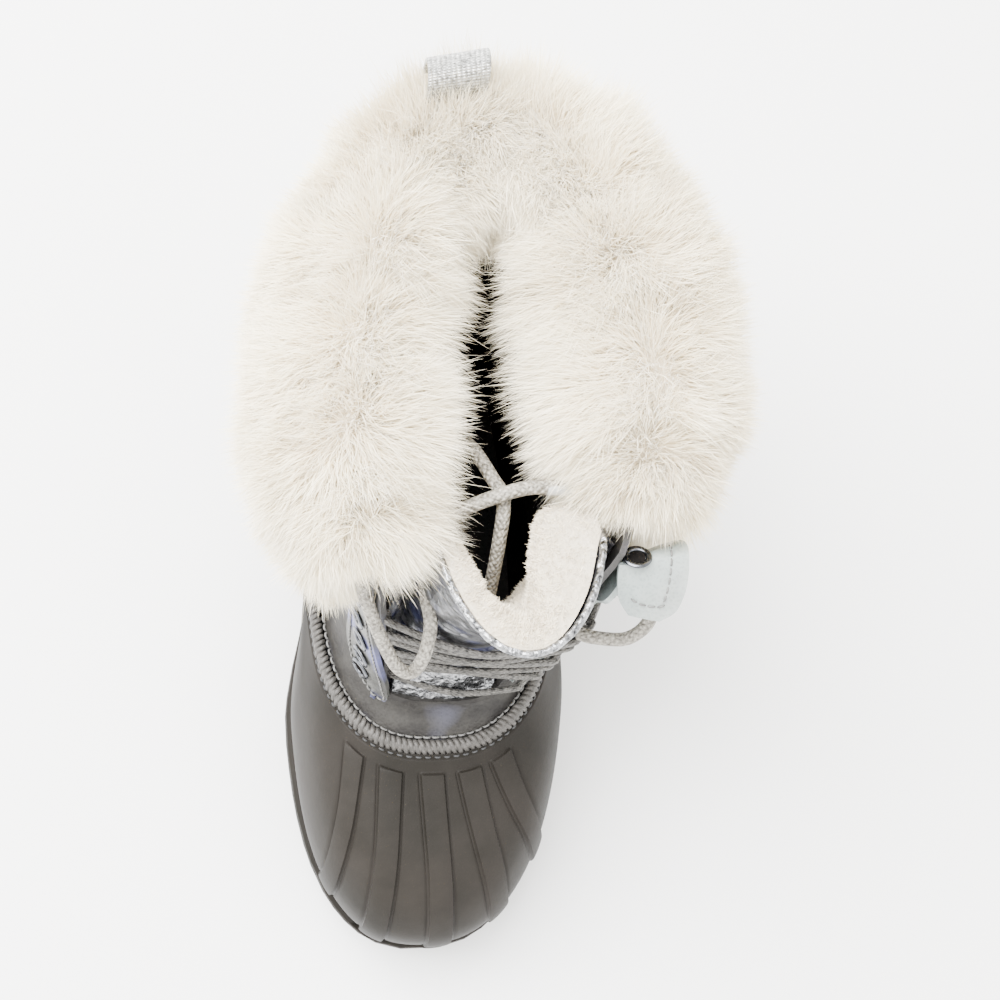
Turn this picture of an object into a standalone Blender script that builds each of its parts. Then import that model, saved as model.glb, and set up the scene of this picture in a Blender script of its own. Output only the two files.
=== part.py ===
"""A child's left duck boot: rubber shell and sole, silver lace-up shaft, fur cuff.

Metres, +Z up, the toe towards -Y and the outer (lateral) side of the foot towards +X.
The origin lies on the floor, below the middle of the boot. Tables are in millimetres.
"""

import math
from typing import NamedTuple

import bmesh
import bpy
import numpy as np
from mathutils import Matrix, Vector
from mathutils.geometry import tessellate_polygon

MM = 0.001
SHELL_GAP = 0.6 * MM
GAP = 0.4 * MM  # air between two pieces that touch on the real boot

# ---------------------------------------------------------------- driving sizes
SHELL_WALL = 2.8 * MM
RIB_RISE = 1.0 * MM
RIB_HALF = 3.2 * MM
RIB_FLANK = 0.5 * MM
UPPER_WALL = 2.0 * MM
EYESTAY_WALL = 1.4 * MM
EYESTAY_WIDTH = 15.0 * MM
TONGUE_WALL = 8.0 * MM
INSOLE_WALL = 4.5 * MM
LACE_RADIUS = 1.9 * MM
WELT_RADIUS = 1.9 * MM
TREAD_DEPTH = 4.5 * MM
FUR_LOCK = 5.0 * MM
CUFF_SEAT = 0.6 * MM
CUFF_CLIMB = 34.0 * MM
CUFF_SECTIONS = 38
EYELET_INSET = 8.5 * MM
LACE_OUT = 4.6 * MM
LACE_END = 2.4 * MM
LACE_APART = 2.2 * MM
LACE_COLOUR = (0.7, 0.7, 0.68)
LOOP_WIDTH = 15.5 * MM
LOOP_WALL = 1.3 * MM
LOOP_RADIUS = 3.6 * MM
LOOP_RISE = 9.0 * MM
LOOP_PLACE = (-0.008, 0.109, 0.1925)
RIB_STOP = 5.0 * MM
SHELL_BACK = 38
SHELL_LIP = 1.2 * MM
UPPER_BACK = 40
EYELET_LEVELS = (5.25, 5.7, 6.15, 6.6, 7.0)

# Levels of the skin, in rows of SKIN: where each piece starts and ends.
LEVEL_TOPLINE = 4.0
LEVEL_THROAT = 5.0
LEVEL_COLLAR = 8.0
THROAT_ANGLE_LOW = 31.0
THROAT_ANGLE_HIGH = 52.0
SHELL_LEVELS = (0.0, 0.5, 1.0, 1.5, 2.0, 2.5, 3.0, 3.4, 3.7, 3.82, 3.94, 4.0)
UPPER_LEVELS = (0.0, 0.6, 1.2, 2.0, 2.7, 3.3, 3.75, 4.3, 4.7, 5.0, 5.5, 6.0, 6.5, 7.0, 7.5, 8.0)

# Rows of each eyestay on the skin, as levels and shares of its width.
EYESTAY_LEVELS = {
    1: ((5.04, 0.55), (5.12, 0.85), (5.3, 1.0), (5.8, 1.0), (6.3, 1.0), (6.8, 1.0), (7.2, 1.0)),
    -1: (
        *((5.04, 0.55), (5.12, 0.85), (5.3, 1.0), (5.8, 1.0), (6.3, 1.0), (6.8, 1.0), (7.3, 1.0)),
        *((7.7, 1.0), (7.88, 0.8), (7.95, 0.45)),
    ),
}

# The outer eyestay's free tab in millimetres: x, y, z, half width and its turn in plan.
TAB = (
    (38.4, -11.5, 147.5, 7.6, 56.0),
    (43.6, -10.0, 152.6, 7.4, 42.0),
    (46.0, -9.8, 156.4, 7.4, 16.0),
    (45.2, -13.0, 157.4, 8.4, -4.0),
    (44.4, -17.0, 155.2, 9.0, -10.0),
    (43.8, -20.8, 152.6, 7.4, -12.0),
    (43.4, -23.4, 150.8, 4.2, -12.0),
)


class Ring(NamedTuple):
    """One level round the boot, in millimetres; the half widths hold at four stations."""

    name: str
    back_y: float
    back_z: float
    front_y: float
    front_z: float
    side_z: float
    heel: float
    waist: float
    ball: float
    toe: float
    swing: float  # the toe end's shift, towards the inner side if negative
    lean: float  # the whole ring's shift, towards the outer side if positive
    heel_power: float  # 2 is an ellipse, more is squarer
    toe_power: float


# The silver upper's outer face from the sole to the collar; the shell lies outside it.
SKIN = (
    Ring("feather", 99.5, 24.15, -100.2, 21.25, 17.45, 31.0, 32.5, 40.0, 41.3, -4.0, 1.0, 3.0, 2.4),
    Ring("wall", 101.1, 34.0, -102.1, 29.5, 27.0, 32.5, 34.0, 41.2, 42.3, -4.0, 1.0, 3.0, 2.4),
    Ring("shoulder", 100.5, 46.0, -99.0, 40.0, 37.0, 33.0, 34.5, 41.0, 41.6, -3.8, 1.0, 2.9, 2.35),
    Ring("dome", 99.0, 58.0, -84.0, 51.0, 45.5, 32.5, 34.0, 39.5, 40.5, -3.0, 0.8, 2.8, 2.35),
    Ring("topline", 97.0, 70.0, -48.5, 61.5, 52.5, 31.0, 33.0, 36.5, 38.0, -2.0, 0.0, 2.7, 2.6),
    Ring("throat", 96.0, 84.0, -35.0, 72.5, 68.0, 30.5, 32.0, 33.0, 33.0, -1.0, 0.5, 2.6, 2.8),
    Ring("ankle", 95.0, 104.0, -33.0, 97.0, 95.0, 31.0, 32.0, 33.0, 32.0, 0.0, 1.5, 2.5, 3.2),
    Ring("shaft", 94.5, 135.0, -31.0, 129.0, 129.0, 33.0, 34.0, 35.0, 34.5, 0.0, 3.0, 2.5, 3.2),
    Ring("collar", 95.0, 172.0, -27.0, 164.0, 167.0, 35.0, 36.0, 37.0, 36.5, 0.0, 5.0, 2.5, 3.0),
    Ring("crown", 96.0, 202.0, -25.0, 194.0, 197.0, 35.0, 36.0, 37.0, 36.5, 0.0, 6.0, 2.5, 3.0),
)

# The widest line of the sole, with the height of the sole's top all round.
RIM = Ring("rim", 106.0, 23.6, -107.0, 20.6, 17.0, 35.5, 37.5, 46.2, 47.2, -4.0, 1.0, 3.0, 2.4)


class SoleStep(NamedTuple):
    """One edge round the sole's side: its inset from the rim and its share of the height."""

    name: str
    inset: float
    share: float


SOLE_STEPS = (
    SoleStep("tread edge", 4.4, 0.00),
    SoleStep("tread side", 2.4, 0.14),
    SoleStep("tread top", 2.0, 0.34),
    SoleStep("groove low", 3.0, 0.38),
    SoleStep("groove high", 3.0, 0.52),
    SoleStep("lip low", 0.4, 0.58),
    SoleStep("lip middle", 0.0, 0.78),
    SoleStep("lip high", 0.4, 0.96),
    SoleStep("seat", 1.4, 1.00),
)

# Lugs of the tread, as shares of the length from the heel to the toe.
HEEL_BARS = ((0.035, 0.085), (0.115, 0.165), (0.195, 0.245), (0.275, 0.325))
TOE_BARS = ((0.570, 0.615), (0.645, 0.690), (0.720, 0.765), (0.795, 0.840), (0.870, 0.910))
TREAD_COLUMNS = (0.55, 0.16, 0.11, -0.11, -0.16, -0.55)
LUG_FLANK = 0.004


class Rib(NamedTuple):
    """A raised band of the toe, as degrees round from the toe's middle, outer side positive."""

    name: str
    top: float
    bottom: float


RIBS = (
    Rib("outer side", 27.4, 45.5),
    Rib("outer", 14.6, 28.0),
    Rib("middle", -1.2, 5.1),
    Rib("inner", -18.6, -19.8),
    Rib("inner side", -33.4, -38.8),
)


class TongueRow(NamedTuple):
    """One level of the tongue's outer face, in millimetres: a bow, open at the back."""

    z: float
    front_y: float
    half: float
    depth: float
    lean: float


TONGUE = (
    TongueRow(86.0, -26.8, 17.0, 8.0, 0.6),
    TongueRow(106.0, -26.0, 18.5, 12.0, 2.0),
    TongueRow(128.0, -26.0, 20.0, 18.0, 4.5),
    TongueRow(150.0, -28.5, 21.5, 25.0, 7.0),
    TongueRow(163.0, -32.0, 22.5, 30.0, 8.0),
    TongueRow(174.0, -36.5, 22.5, 33.0, 8.5),
)

# The fur cuff's section: millimetres out from the shaft's face and above the collar's edge.
CUFF_SECTION = (
    (5.0, -46.0),
    (12.0, -47.0),
    (22.0, -42.0),
    (27.0, -30.0),
    (29.0, -15.0),
    (28.0, 0.0),
    (23.0, 12.0),
    (14.0, 20.0),
    (4.0, 24.0),
    (-7.0, 22.0),
    (-15.5, 14.5),
    (-19.0, 2.0),
    (-16.5, -9.0),
    (-8.0, -18.0),
)
CUFF_ENDS = (-120.0, 108.0)


# Loose cords, as points in millimetres along each one.
CORDS = {
    "lace_loop_inner": (
        (-30.9, -12.0, 152.3),
        (-28.2, -17.9, 143.5),
        (-23.8, -24.9, 132.0),
        (-19.0, -31.2, 124.0),
        (-14.6, -32.4, 122.0),
        (-11.9, -28.6, 128.5),
        (-10.6, -21.3, 133.0),
    ),
    "lace_tail_inner": (
        (-6.0, 3.0, 163.0),
        (2.0, 5.5, 166.5),
        (12.0, 8.0, 167.5),
        (25.0, 8.1, 166.0),
    ),
    "lace_tail_outer": (
        (-1.0, 24.0, 150.0),
        (0.0, 19.0, 158.0),
        (3.0, 12.0, 161.5),
        (5.5, 5.8, 162.8),
        (5.0, -4.0, 156.0),
        (4.0, -16.4, 140.0),
    ),
    "lace_loop_outer": (
        (34.0, -25.0, 131.0),
        (42.5, -26.0, 133.5),
        (47.5, -23.0, 138.5),
        (48.0, -18.5, 144.5),
        (45.0, -15.5, 151.9),
    ),
}

ORIGIN_SHIFT = Vector((0.0, 0.0, 0.0))


def smooth(value):
    """0 below 0, 1 above 1 and an even rise between."""
    value = min(max(value, 0.0), 1.0)
    return value * value * (3 - 2 * value)


def through(rows, at):
    """The row at a place between whole rows, on a smooth curve through them (Catmull-Rom)."""
    numbers = np.array([[v for v in row if not isinstance(v, str)] for row in rows])
    at = min(max(at, 0.0), len(rows) - 1.0)
    index = min(int(at), len(rows) - 2)
    share = at - index
    ends = [
        2 * numbers[0] - numbers[1],
        *numbers,
        2 * numbers[-1] - numbers[-2],
    ]
    a, b, c, d = ends[index : index + 4]
    return 0.5 * (
        2 * b
        + (c - a) * share
        + (2 * a - 5 * b + 4 * c - d) * share**2
        + (3 * b - a - 3 * c + d) * share**3
    )


def half_width(along, heel, waist, ball, toe):
    """The half width at a share of the length from heel to toe."""
    stations = ((0.14, heel), (0.42, waist), (0.68, ball), (0.92, toe))
    if along <= stations[0][0]:
        return heel
    for (low, before), (high, after) in zip(stations, stations[1:]):
        if along <= high:
            return before + (after - before) * smooth((along - low) / (high - low))
    return toe


def ring_point(numbers, angle):
    """A point of a ring: angle 0 is the back of the heel, 90 the outer side, 180 the toe."""
    (back_y, back_z, front_y, front_z, side_z, heel, waist, ball, toe) = numbers[:9]
    swing, lean, heel_power, toe_power = numbers[9:]
    turn = math.radians(angle)
    power = heel_power if math.cos(turn) > 0 else toe_power
    radius = (abs(math.cos(turn)) ** power + abs(math.sin(turn)) ** power) ** (-1 / power)
    reach, across = radius * math.cos(turn), radius * math.sin(turn)
    along = (1 - reach) / 2
    x = lean + swing * along**3 + across * half_width(along, heel, waist, ball, toe)
    y = back_y + (front_y - back_y) * along
    z = side_z
    z += (back_z - side_z) * smooth((0.5 - along) / 0.45)
    z += (front_z - side_z) * smooth((along - 0.5) / 0.5)
    return Vector((x, y, z)) * MM


def skin_point(angle, level, out=0.0):
    """A point of the upper's outer face, or of its parallel face at a distance out."""
    here = ring_point(through(SKIN, level), angle)
    if out == 0.0:
        return here
    return here + out * skin_normal(angle, level)


def skin_normal(angle, level):
    """The outward normal of the upper's outer face."""
    low, high = max(level - 0.05, 0.0), min(level + 0.05, len(SKIN) - 1.0)
    upward = ring_point(through(SKIN, high), angle) - ring_point(through(SKIN, low), angle)
    ring = through(SKIN, level)
    round_it = ring_point(ring, angle + 1.0) - ring_point(ring, angle - 1.0)
    return upward.cross(round_it).normalized()


def speed(angle, level):
    """Metres along the ring for each degree."""
    ring = through(SKIN, level)
    return (ring_point(ring, angle + 1.0) - ring_point(ring, angle - 1.0)).length / 2


# ---------------------------------------------------------------- mesh helpers
def finish(name, colour, roughness, metallic, mesh):
    """An object from a mesh, with its own material, in the boot's collection."""
    obj = bpy.data.objects.new(name, mesh)
    bpy.data.collections["duck_boot"].objects.link(obj)
    material = bpy.data.materials.new(name)
    material.use_nodes = True
    shader = material.node_tree.nodes["Principled BSDF"]
    shader.inputs["Base Color"].default_value = (*colour, 1.0)
    shader.inputs["Roughness"].default_value = roughness
    shader.inputs["Metallic"].default_value = metallic
    mesh.materials.clear()
    mesh.materials.append(material)
    mesh.shade_smooth()
    mesh.set_sharp_from_angle(angle=math.radians(40))
    return obj


def wall_mesh(name, outer, inner, closed=False, keep=lambda row, column: True):
    """A solid wall between two like sheets, left open where keep(row, column) is false."""
    form = bmesh.new()
    faces = [[[form.verts.new(point) for point in row] for row in rows] for rows in (outer, inner)]
    width = len(outer[0])
    rims = set()
    for row in range(len(outer) - 1):
        for column in range(width if closed else width - 1):
            if not keep(row, column):
                continue
            after = (column + 1) % width
            corners = ((row, column), (row, after), (row + 1, after), (row + 1, column))
            form.faces.new([faces[0][r][c] for r, c in corners])
            form.faces.new([faces[1][r][c] for r, c in reversed(corners)])
            for start, end in zip(corners, corners[1:] + corners[:1]):
                if (end, start) in rims:
                    rims.remove((end, start))
                else:
                    rims.add((start, end))
    for (r0, c0), (r1, c1) in sorted(rims):
        form.faces.new((faces[0][r1][c1], faces[0][r0][c0], faces[1][r0][c0], faces[1][r1][c1]))
    return to_mesh(name, form)


def to_mesh(name, form):
    """A mesh from a form, with loose corners taken off and every face turned outwards."""
    loose = [vert for vert in form.verts if not vert.link_faces]
    bmesh.ops.delete(form, geom=loose, context="VERTS")
    bmesh.ops.recalc_face_normals(form, faces=form.faces)
    mesh = bpy.data.meshes.new(name)
    form.to_mesh(mesh)
    form.free()
    return mesh


def loft_mesh(name, rows, cyclic=False, caps=()):
    """A closed solid through closed rows; cyclic joins its ends and caps are end triangles."""
    form = bmesh.new()
    grid = [[form.verts.new(point) for point in row] for row in rows]
    width = len(rows[0])
    for low, high in zip(grid, grid[1:] + grid[:1] if cyclic else grid[1:]):
        for column in range(width):
            after = (column + 1) % width
            form.faces.new((low[column], low[after], high[after], high[column]))
    if not cyclic:
        for end in (grid[0], grid[-1]):
            for corners in caps:
                form.faces.new([end[corner] for corner in corners])
            for column in range(0 if caps else (width - 1) // 2):
                corners = (end[column], end[column + 1], end[-column - 2], end[-column - 1])
                form.faces.new(list(dict.fromkeys(corners)))
    return to_mesh(name, form)


def thicken(rows, thickness):
    """The sheet parallel to another, on the side its rows and columns turn towards."""
    grid = np.array([[tuple(point) for point in row] for row in rows])
    across = np.gradient(grid, axis=1)
    upward = np.gradient(grid, axis=0)
    normals = np.cross(across, upward)
    normals /= np.linalg.norm(normals, axis=2, keepdims=True)
    return (grid + thickness * normals).tolist()


def tube_mesh(name, points, radius, sides, closed=False):
    """A round cord through points, as a POLY curve with filled ends made a mesh."""
    curve = bpy.data.curves.new(name, "CURVE")
    curve.dimensions = "3D"
    curve.bevel_depth = radius
    curve.bevel_resolution = sides
    curve.use_fill_caps = not closed
    spline = curve.splines.new("POLY")
    spline.points.add(len(points) - 1)
    for knot, point in zip(spline.points, points):
        knot.co = (*point, 1.0)
    spline.use_cyclic_u = closed
    carrier = bpy.data.objects.new(name, curve)
    bpy.context.scene.collection.objects.link(carrier)
    graph = bpy.context.evaluated_depsgraph_get()
    mesh = bpy.data.meshes.new_from_object(carrier.evaluated_get(graph))
    bpy.data.objects.remove(carrier)
    form = bmesh.new()
    form.from_mesh(mesh)
    bmesh.ops.remove_doubles(form, verts=form.verts, dist=0.01 * MM)
    bmesh.ops.recalc_face_normals(form, faces=form.faces)
    form.to_mesh(mesh)
    form.free()
    return mesh


def through_points(points, step):
    """Evenly spaced points on a smooth curve through a few points."""
    fine = [
        Vector(through(points, place))
        for place in np.linspace(0, len(points) - 1, 24 * (len(points) - 1) + 1)
    ]
    reach = np.cumsum([0.0, *((b - a).length for a, b in zip(fine, fine[1:]))])
    count = max(2, round(reach[-1] / step))
    even = np.linspace(0, reach[-1], count + 1)
    return [
        Vector([np.interp(at, reach, [point[axis] for point in fine]) for axis in range(3)])
        for at in even
    ]


def joined(name, meshes):
    """One closed mesh from overlapping closed meshes."""
    tool = helper(f"{name}_helper", meshes[0])
    for index, mesh in enumerate(meshes[1:]):
        other = helper(f"{name}_joins_{index}", mesh)
        change = tool.modifiers.new("join", "BOOLEAN")
        change.operation = "UNION"
        change.solver = "EXACT"
        change.object = other
    graph = bpy.context.evaluated_depsgraph_get()
    mesh = bpy.data.meshes.new_from_object(tool.evaluated_get(graph))
    tool.modifiers.clear()
    return mesh


def helper(name, mesh):
    """A cutter or a shape to be joined, kept out of the boot's own collection."""
    obj = bpy.data.objects.new(name, mesh)
    bpy.data.collections["cutters"].objects.link(obj)
    obj.hide_render = True
    obj.display_type = "WIRE"
    return obj


# ---------------------------------------------------------------- sole
def rim_angle(along):
    """The ring angle of a share of the length."""
    reach = 1 - 2 * along
    power = RIM.heel_power if reach > 0 else RIM.toe_power
    return math.degrees(math.atan2((1 - abs(reach) ** power) ** (1 / power), reach))


def ground(along):
    """The underside's height: flat below the heel and the ball, hollow below the arch."""
    arch = 5.5 * smooth((along - 0.33) / 0.10) * smooth((0.565 - along) / 0.09)
    spring = 7.5 * (max(along - 0.80, 0.0) / 0.20) ** 1.6
    return (arch + spring) * MM


def tread_stations():
    """Shares of the length at which the sole has a section, each with its lug or groove."""
    stations = [(along, False) for along in (0.0016, 0.010, 0.022)]
    for start, end in HEEL_BARS + TOE_BARS:
        stations += [(start - LUG_FLANK, False), (start, True), (end, True), (end + LUG_FLANK, False)]
    stations += [(along, False) for along in (0.37, 0.42, 0.47, 0.52)]
    stations += [(along, False) for along in (0.935, 0.955, 0.973, 0.988, 0.9984)]
    return sorted(stations)


def build_outsole():
    """The sole: a stepped side wall round the rim, an arched underside and barred lugs."""
    stations = tread_stations()
    numbers = through([RIM, RIM], 0.0)
    length = RIM.back_y - RIM.front_y
    rows = []
    for step in SOLE_STEPS:
        ring = numbers.copy()
        ring[[0, 5, 6, 7, 8]] -= step.inset
        ring[2] += step.inset
        row = []
        for side in (1, -1):
            for along, lug in stations if side > 0 else reversed(stations):
                point = ring_point(ring, side * rim_angle(along))
                top = ring_point(numbers, side * rim_angle(along)).z
                floor = ground(along) + (0.0 if lug else TREAD_DEPTH)
                point.z = floor + (top - floor) * step.share
                row.append(point)
        rows.append(row)
    form = bmesh.new()
    grid = [[form.verts.new(point) for point in row] for row in rows]
    across = []
    for index, (along, lug) in enumerate(stations):
        right, left = grid[0][index], grid[0][-index - 1]
        fade = smooth(along / 0.06) * smooth((1 - along) / 0.10)
        row = [right]
        for place in TREAD_COLUMNS:
            point = left.co.lerp(right.co, (1 + place) / 2)
            depth = 0.0 if lug and abs(place) >= 0.16 else TREAD_DEPTH
            point.z = ground(along) + depth
            point.y -= 7.0 * MM * (1 - abs(place)) * fade
            row.append(form.verts.new(point))
        across.append([*row, left])
    half = len(stations)
    ends = {half - 1: across[-1][1:-1], 2 * half - 1: across[0][-2:0:-1]}
    for index, (low, high) in enumerate(zip(grid, grid[1:])):
        for column in range(2 * half):
            after = (column + 1) % (2 * half)
            between = ends.get(column, []) if index == 0 else []
            form.faces.new((low[column], *between, low[after], high[after], high[column]))
    for low, high in zip(across, across[1:]):
        for column in range(len(low) - 1):
            form.faces.new((low[column], high[column], high[column + 1], low[column + 1]))
    top = grid[-1]
    for column in range(half - 1):
        form.faces.new((top[column], top[column + 1], top[-column - 2], top[-column - 1]))
    bmesh.ops.triangulate(form, faces=[face for face in form.faces if len(face.verts) > 4])
    return finish("outsole", (0.16, 0.15, 0.135), 0.7, 0.0, to_mesh("outsole", form))


# ---------------------------------------------------------------- rubber shell and binding
def climb(angle, level):
    """Metres up the skin for each level."""
    return (skin_point(angle, level + 0.1) - skin_point(angle, level - 0.1)).length / 0.2


def shell_columns(level):
    """Angles of the shell's columns and whether each lies on a rib's crown."""
    columns = []
    for rib in RIBS:
        centre = 180.0 - (rib.bottom + (rib.top - rib.bottom) * rib_share(level))
        degrees = 1.0 / speed(centre, level)
        for side in (-1, 1):
            flank = centre + side * (RIB_HALF + RIB_FLANK) * degrees
            crown = centre + side * RIB_HALF * degrees
            columns += [(flank, False), (crown, True)] if side < 0 else [(crown, True), (flank, False)]
    first, last = columns[0][0], columns[-1][0]
    gaps = []
    for (here, crown), (after, crown_after) in zip(columns, columns[1:]):
        gaps.append((here, crown))
        if not crown and not crown_after:
            gaps.append(((here + after) / 2, False))
    gaps.append(columns[-1])
    back = [(last + (360.0 + first - last) * (i / SHELL_BACK), False) for i in range(1, SHELL_BACK)]
    return gaps + back


def rib_share(level):
    """How far back over the toe a level is: 0 at the sole and 1 at the ribs' tops."""
    front_y = through(SKIN, level)[2]
    start, end = SKIN[1].front_y, SKIN[4].front_y - 3.0
    return min(max((front_y - start) / (end - start), 0.0), 1.0) if level > 1 else 0.0


def build_shell():
    """The moulded shell round the foot: open over the instep and underneath, ribbed at the toe."""
    outer, inner = [], []
    for level in SHELL_LEVELS:
        outer_row, inner_row = [], []
        for angle, crown in shell_columns(level):
            rib_top = LEVEL_TOPLINE - RIB_STOP / climb(angle, LEVEL_TOPLINE)
            rise = RIB_RISE if crown and level <= rib_top else 0.0
            thin = SHELL_LIP if level >= LEVEL_TOPLINE - 0.02 else 0.0
            pair = [skin_point(angle, level, out) for out in (SHELL_GAP + SHELL_WALL - thin + rise, SHELL_GAP)]
            for point in pair if level == 0.0 else ():
                point.z = skin_point(angle, 0.0).z
            outer_row.append(pair[0])
            inner_row.append(pair[1])
        outer.append(outer_row)
        inner.append(inner_row)
    mesh = wall_mesh("shell", outer, inner, closed=True)
    return finish("shell", (0.155, 0.145, 0.13), 0.55, 0.0, mesh)


def build_binding():
    """The rope-like binding that sews the shell's top edge to the upper."""
    rows = []
    for angle in np.linspace(0, 360, 56, endpoint=False):
        up = 1.0 / climb(angle, LEVEL_TOPLINE)
        middle = LEVEL_TOPLINE + (WELT_RADIUS + 0.5 * MM) * up
        row = []
        for turn in np.linspace(0, 2 * math.pi, 6, endpoint=False):
            level = middle + WELT_RADIUS * math.sin(turn) * up
            row.append(skin_point(angle, level, 1.9 * MM + 1.5 * MM * math.cos(turn)))
        rows.append(row)
    mesh = loft_mesh("shell_binding", rows, cyclic=True)
    return finish("shell_binding", (0.55, 0.56, 0.58), 0.45, 0.4, mesh)


# ---------------------------------------------------------------- upper and overlays
def throat(level):
    """Degrees from the front to the throat's edge."""
    share = (level - LEVEL_THROAT) / (LEVEL_COLLAR - LEVEL_THROAT)
    return THROAT_ANGLE_LOW + (THROAT_ANGLE_HIGH - THROAT_ANGLE_LOW) * min(max(share, 0.0), 1.0)


def build_upper():
    """The silver upper: one wall from the sole to the collar, open at the throat."""
    outer, inner = [], []
    for level in UPPER_LEVELS:
        edge = throat(level)
        angles = [180.0 + edge * share for share in np.linspace(-1, 1, 9)]
        angles += [180.0 + edge + (360.0 - 2 * edge) * i / UPPER_BACK for i in range(1, UPPER_BACK)]
        outer.append([skin_point(angle, level) for angle in angles])
        inner.append([skin_point(angle, level, -UPPER_WALL) for angle in angles])
        for point, under in zip(outer[0], inner[0]):
            under.z = point.z
    open_row = UPPER_LEVELS.index(LEVEL_THROAT)
    keep = lambda row, column: row < open_row or column >= 8
    mesh = wall_mesh("upper", outer, inner, closed=True, keep=keep)
    return finish("upper", (0.62, 0.63, 0.65), 0.42, 0.35, mesh)


def eyestay_rows(side):
    """The inner face of one eyestay; the outer side's ends in a free tab turned outwards."""
    rows = []
    for level, width in EYESTAY_LEVELS[side]:
        row = []
        for share in np.linspace(0, 1, 5):
            place = EYESTAY_WIDTH * (0.5 + (share - 0.5) * width)
            edge = throat(level) + (1.0 * MM + place) / speed(180 - side * 50, level)
            row.append(skin_point(180.0 - side * edge, level, GAP))
        rows.append(row)
    if side > 0:
        for x, y, z, half, turn in TAB:
            across = Vector((math.cos(math.radians(turn)), math.sin(math.radians(turn)), 0.0))
            middle = Vector((x, y, z))
            rows.append([(middle + across * half * share) * MM for share in np.linspace(-1, 1, 5)])
    return rows


def build_eyestay(name, side):
    """An overlay beside the throat; side is 1 on the outer side and -1 on the inner."""
    rows = eyestay_rows(side)
    outer = thicken(rows, side * EYESTAY_WALL)
    mesh = wall_mesh(name, outer, rows)
    return finish(name, (0.58, 0.6, 0.64), 0.4, 0.35, mesh)


def build_eyelet(name, side, level):
    """A dark metal ring standing on the eyestay."""
    angle = 180.0 - side * (throat(level) + EYELET_INSET / speed(180 - side * 50, level))
    centre = skin_point(angle, level, 2 * GAP + EYESTAY_WALL)
    normal = skin_normal(angle, level)
    return washer(name, centre, normal)


def washer(name, centre, normal):
    """A turned ring about a normal, standing on the centre point."""
    turn = normal.to_track_quat("Z", "Y")
    rows = []
    for angle in np.linspace(0, 2 * math.pi, 14, endpoint=False):
        spoke = Vector((math.cos(angle), math.sin(angle), 0))
        profile = ((2.3, 0.0), (4.2, 0.0), (4.2, 0.4), (3.3, 1.0), (2.3, 0.5))
        rows.append(
            [centre + turn @ (spoke * out * MM + Vector((0, 0, up * MM))) for out, up in profile]
        )
    mesh = loft_mesh(name, rows, cyclic=True)
    return finish(name, (0.13, 0.13, 0.14), 0.35, 1.0, mesh)


def build_tongue():
    """The padded tongue: it starts below the throat and leans out above the collar."""
    front = []
    for level, spread, out in ((4.6, 31.0, -2.6), (5.05, 34.0, -2.8)):
        shares = np.linspace(-1, 1, 13)
        front.append([skin_point(180.0 - share * spread, level, out * MM) for share in shares])
    for place in np.linspace(0, len(TONGUE) - 1, 9):
        z, front_y, half, depth, lean = through(TONGUE, place)
        row = []
        for share in np.linspace(-1, 1, 13):
            turn = math.radians(78.0 * share)
            full = math.radians(78.0)
            x = lean + half * math.sin(turn) / math.sin(full)
            y = front_y + depth * (1 - math.cos(turn)) / (1 - math.cos(full))
            drop = 7.0 * abs(share) ** 3 * smooth((z - 140) / 34)
            row.append(Vector((x, y, z - drop)) * MM)
        front.append(row)
    back = thicken(front, -TONGUE_WALL)
    mesh = wall_mesh("tongue", front, back)
    return finish("tongue", (0.66, 0.67, 0.7), 0.4, 0.35, mesh)


def build_insole():
    """The loose insole, a sheet inside the upper on the sole's seat."""
    angles = [(i + 0.5) * 10.0 for i in range(36)]
    rows = []
    for up, out in ((0.1, -3.0), (0.3, -2.6), (INSOLE_WALL / MM - 0.4, -2.6), (INSOLE_WALL / MM, -3.2)):
        row = [skin_point(angle, 0.0, out * MM) + Vector((0, 0, up * MM)) for angle in angles]
        rows.append(row)
    return finish("insole", (0.72, 0.7, 0.64), 0.9, 0.0, loft_mesh("insole", rows))


# ---------------------------------------------------------------- fur cuff and pull loop
def cuff_point(angle, out, rise):
    """A point by its way out from the shaft's face and up from the collar's edge."""
    level = LEVEL_COLLAR + rise * MM / CUFF_CLIMB
    normal = skin_normal(angle, min(level, LEVEL_COLLAR))
    normal.z = 0.0
    return skin_point(angle, level) + normal.normalized() * out


def cuff_section(index, angle):
    """The cuff's section at an angle, as places out from the skin and up from the collar."""
    edge = min(angle - CUFF_ENDS[0], CUFF_ENDS[1] - angle)
    whole = 0.74 + 0.26 * smooth(edge / 16.0)
    broad = 0.68 + 0.32 * abs(math.sin(math.radians(angle))) ** 1.5
    seat = CUFF_SEAT + (EYESTAY_WALL + GAP) * smooth((78.0 - (180.0 - abs(angle))) / 6.0)
    places = [(seat, -40.0)]
    for number, (out, rise) in enumerate(CUFF_SECTION):
        lock = FUR_LOCK * (0.5 if (index + number) % 2 else -0.5) if edge > 0 else 0.0
        grow = whole + lock / (math.hypot(out, rise + 12.0) * MM)
        reach = out * grow * (broad if out > 0 else 1.0)
        places.append((reach * MM, (rise + 12.0) * grow - 12.0))
    places += [(-UPPER_WALL - CUFF_SEAT, rise) for rise in (-16.0, 0.8)]
    places += [(seat, rise) for rise in (0.8, -10.0, -20.0, -30.0)]
    return places


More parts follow.
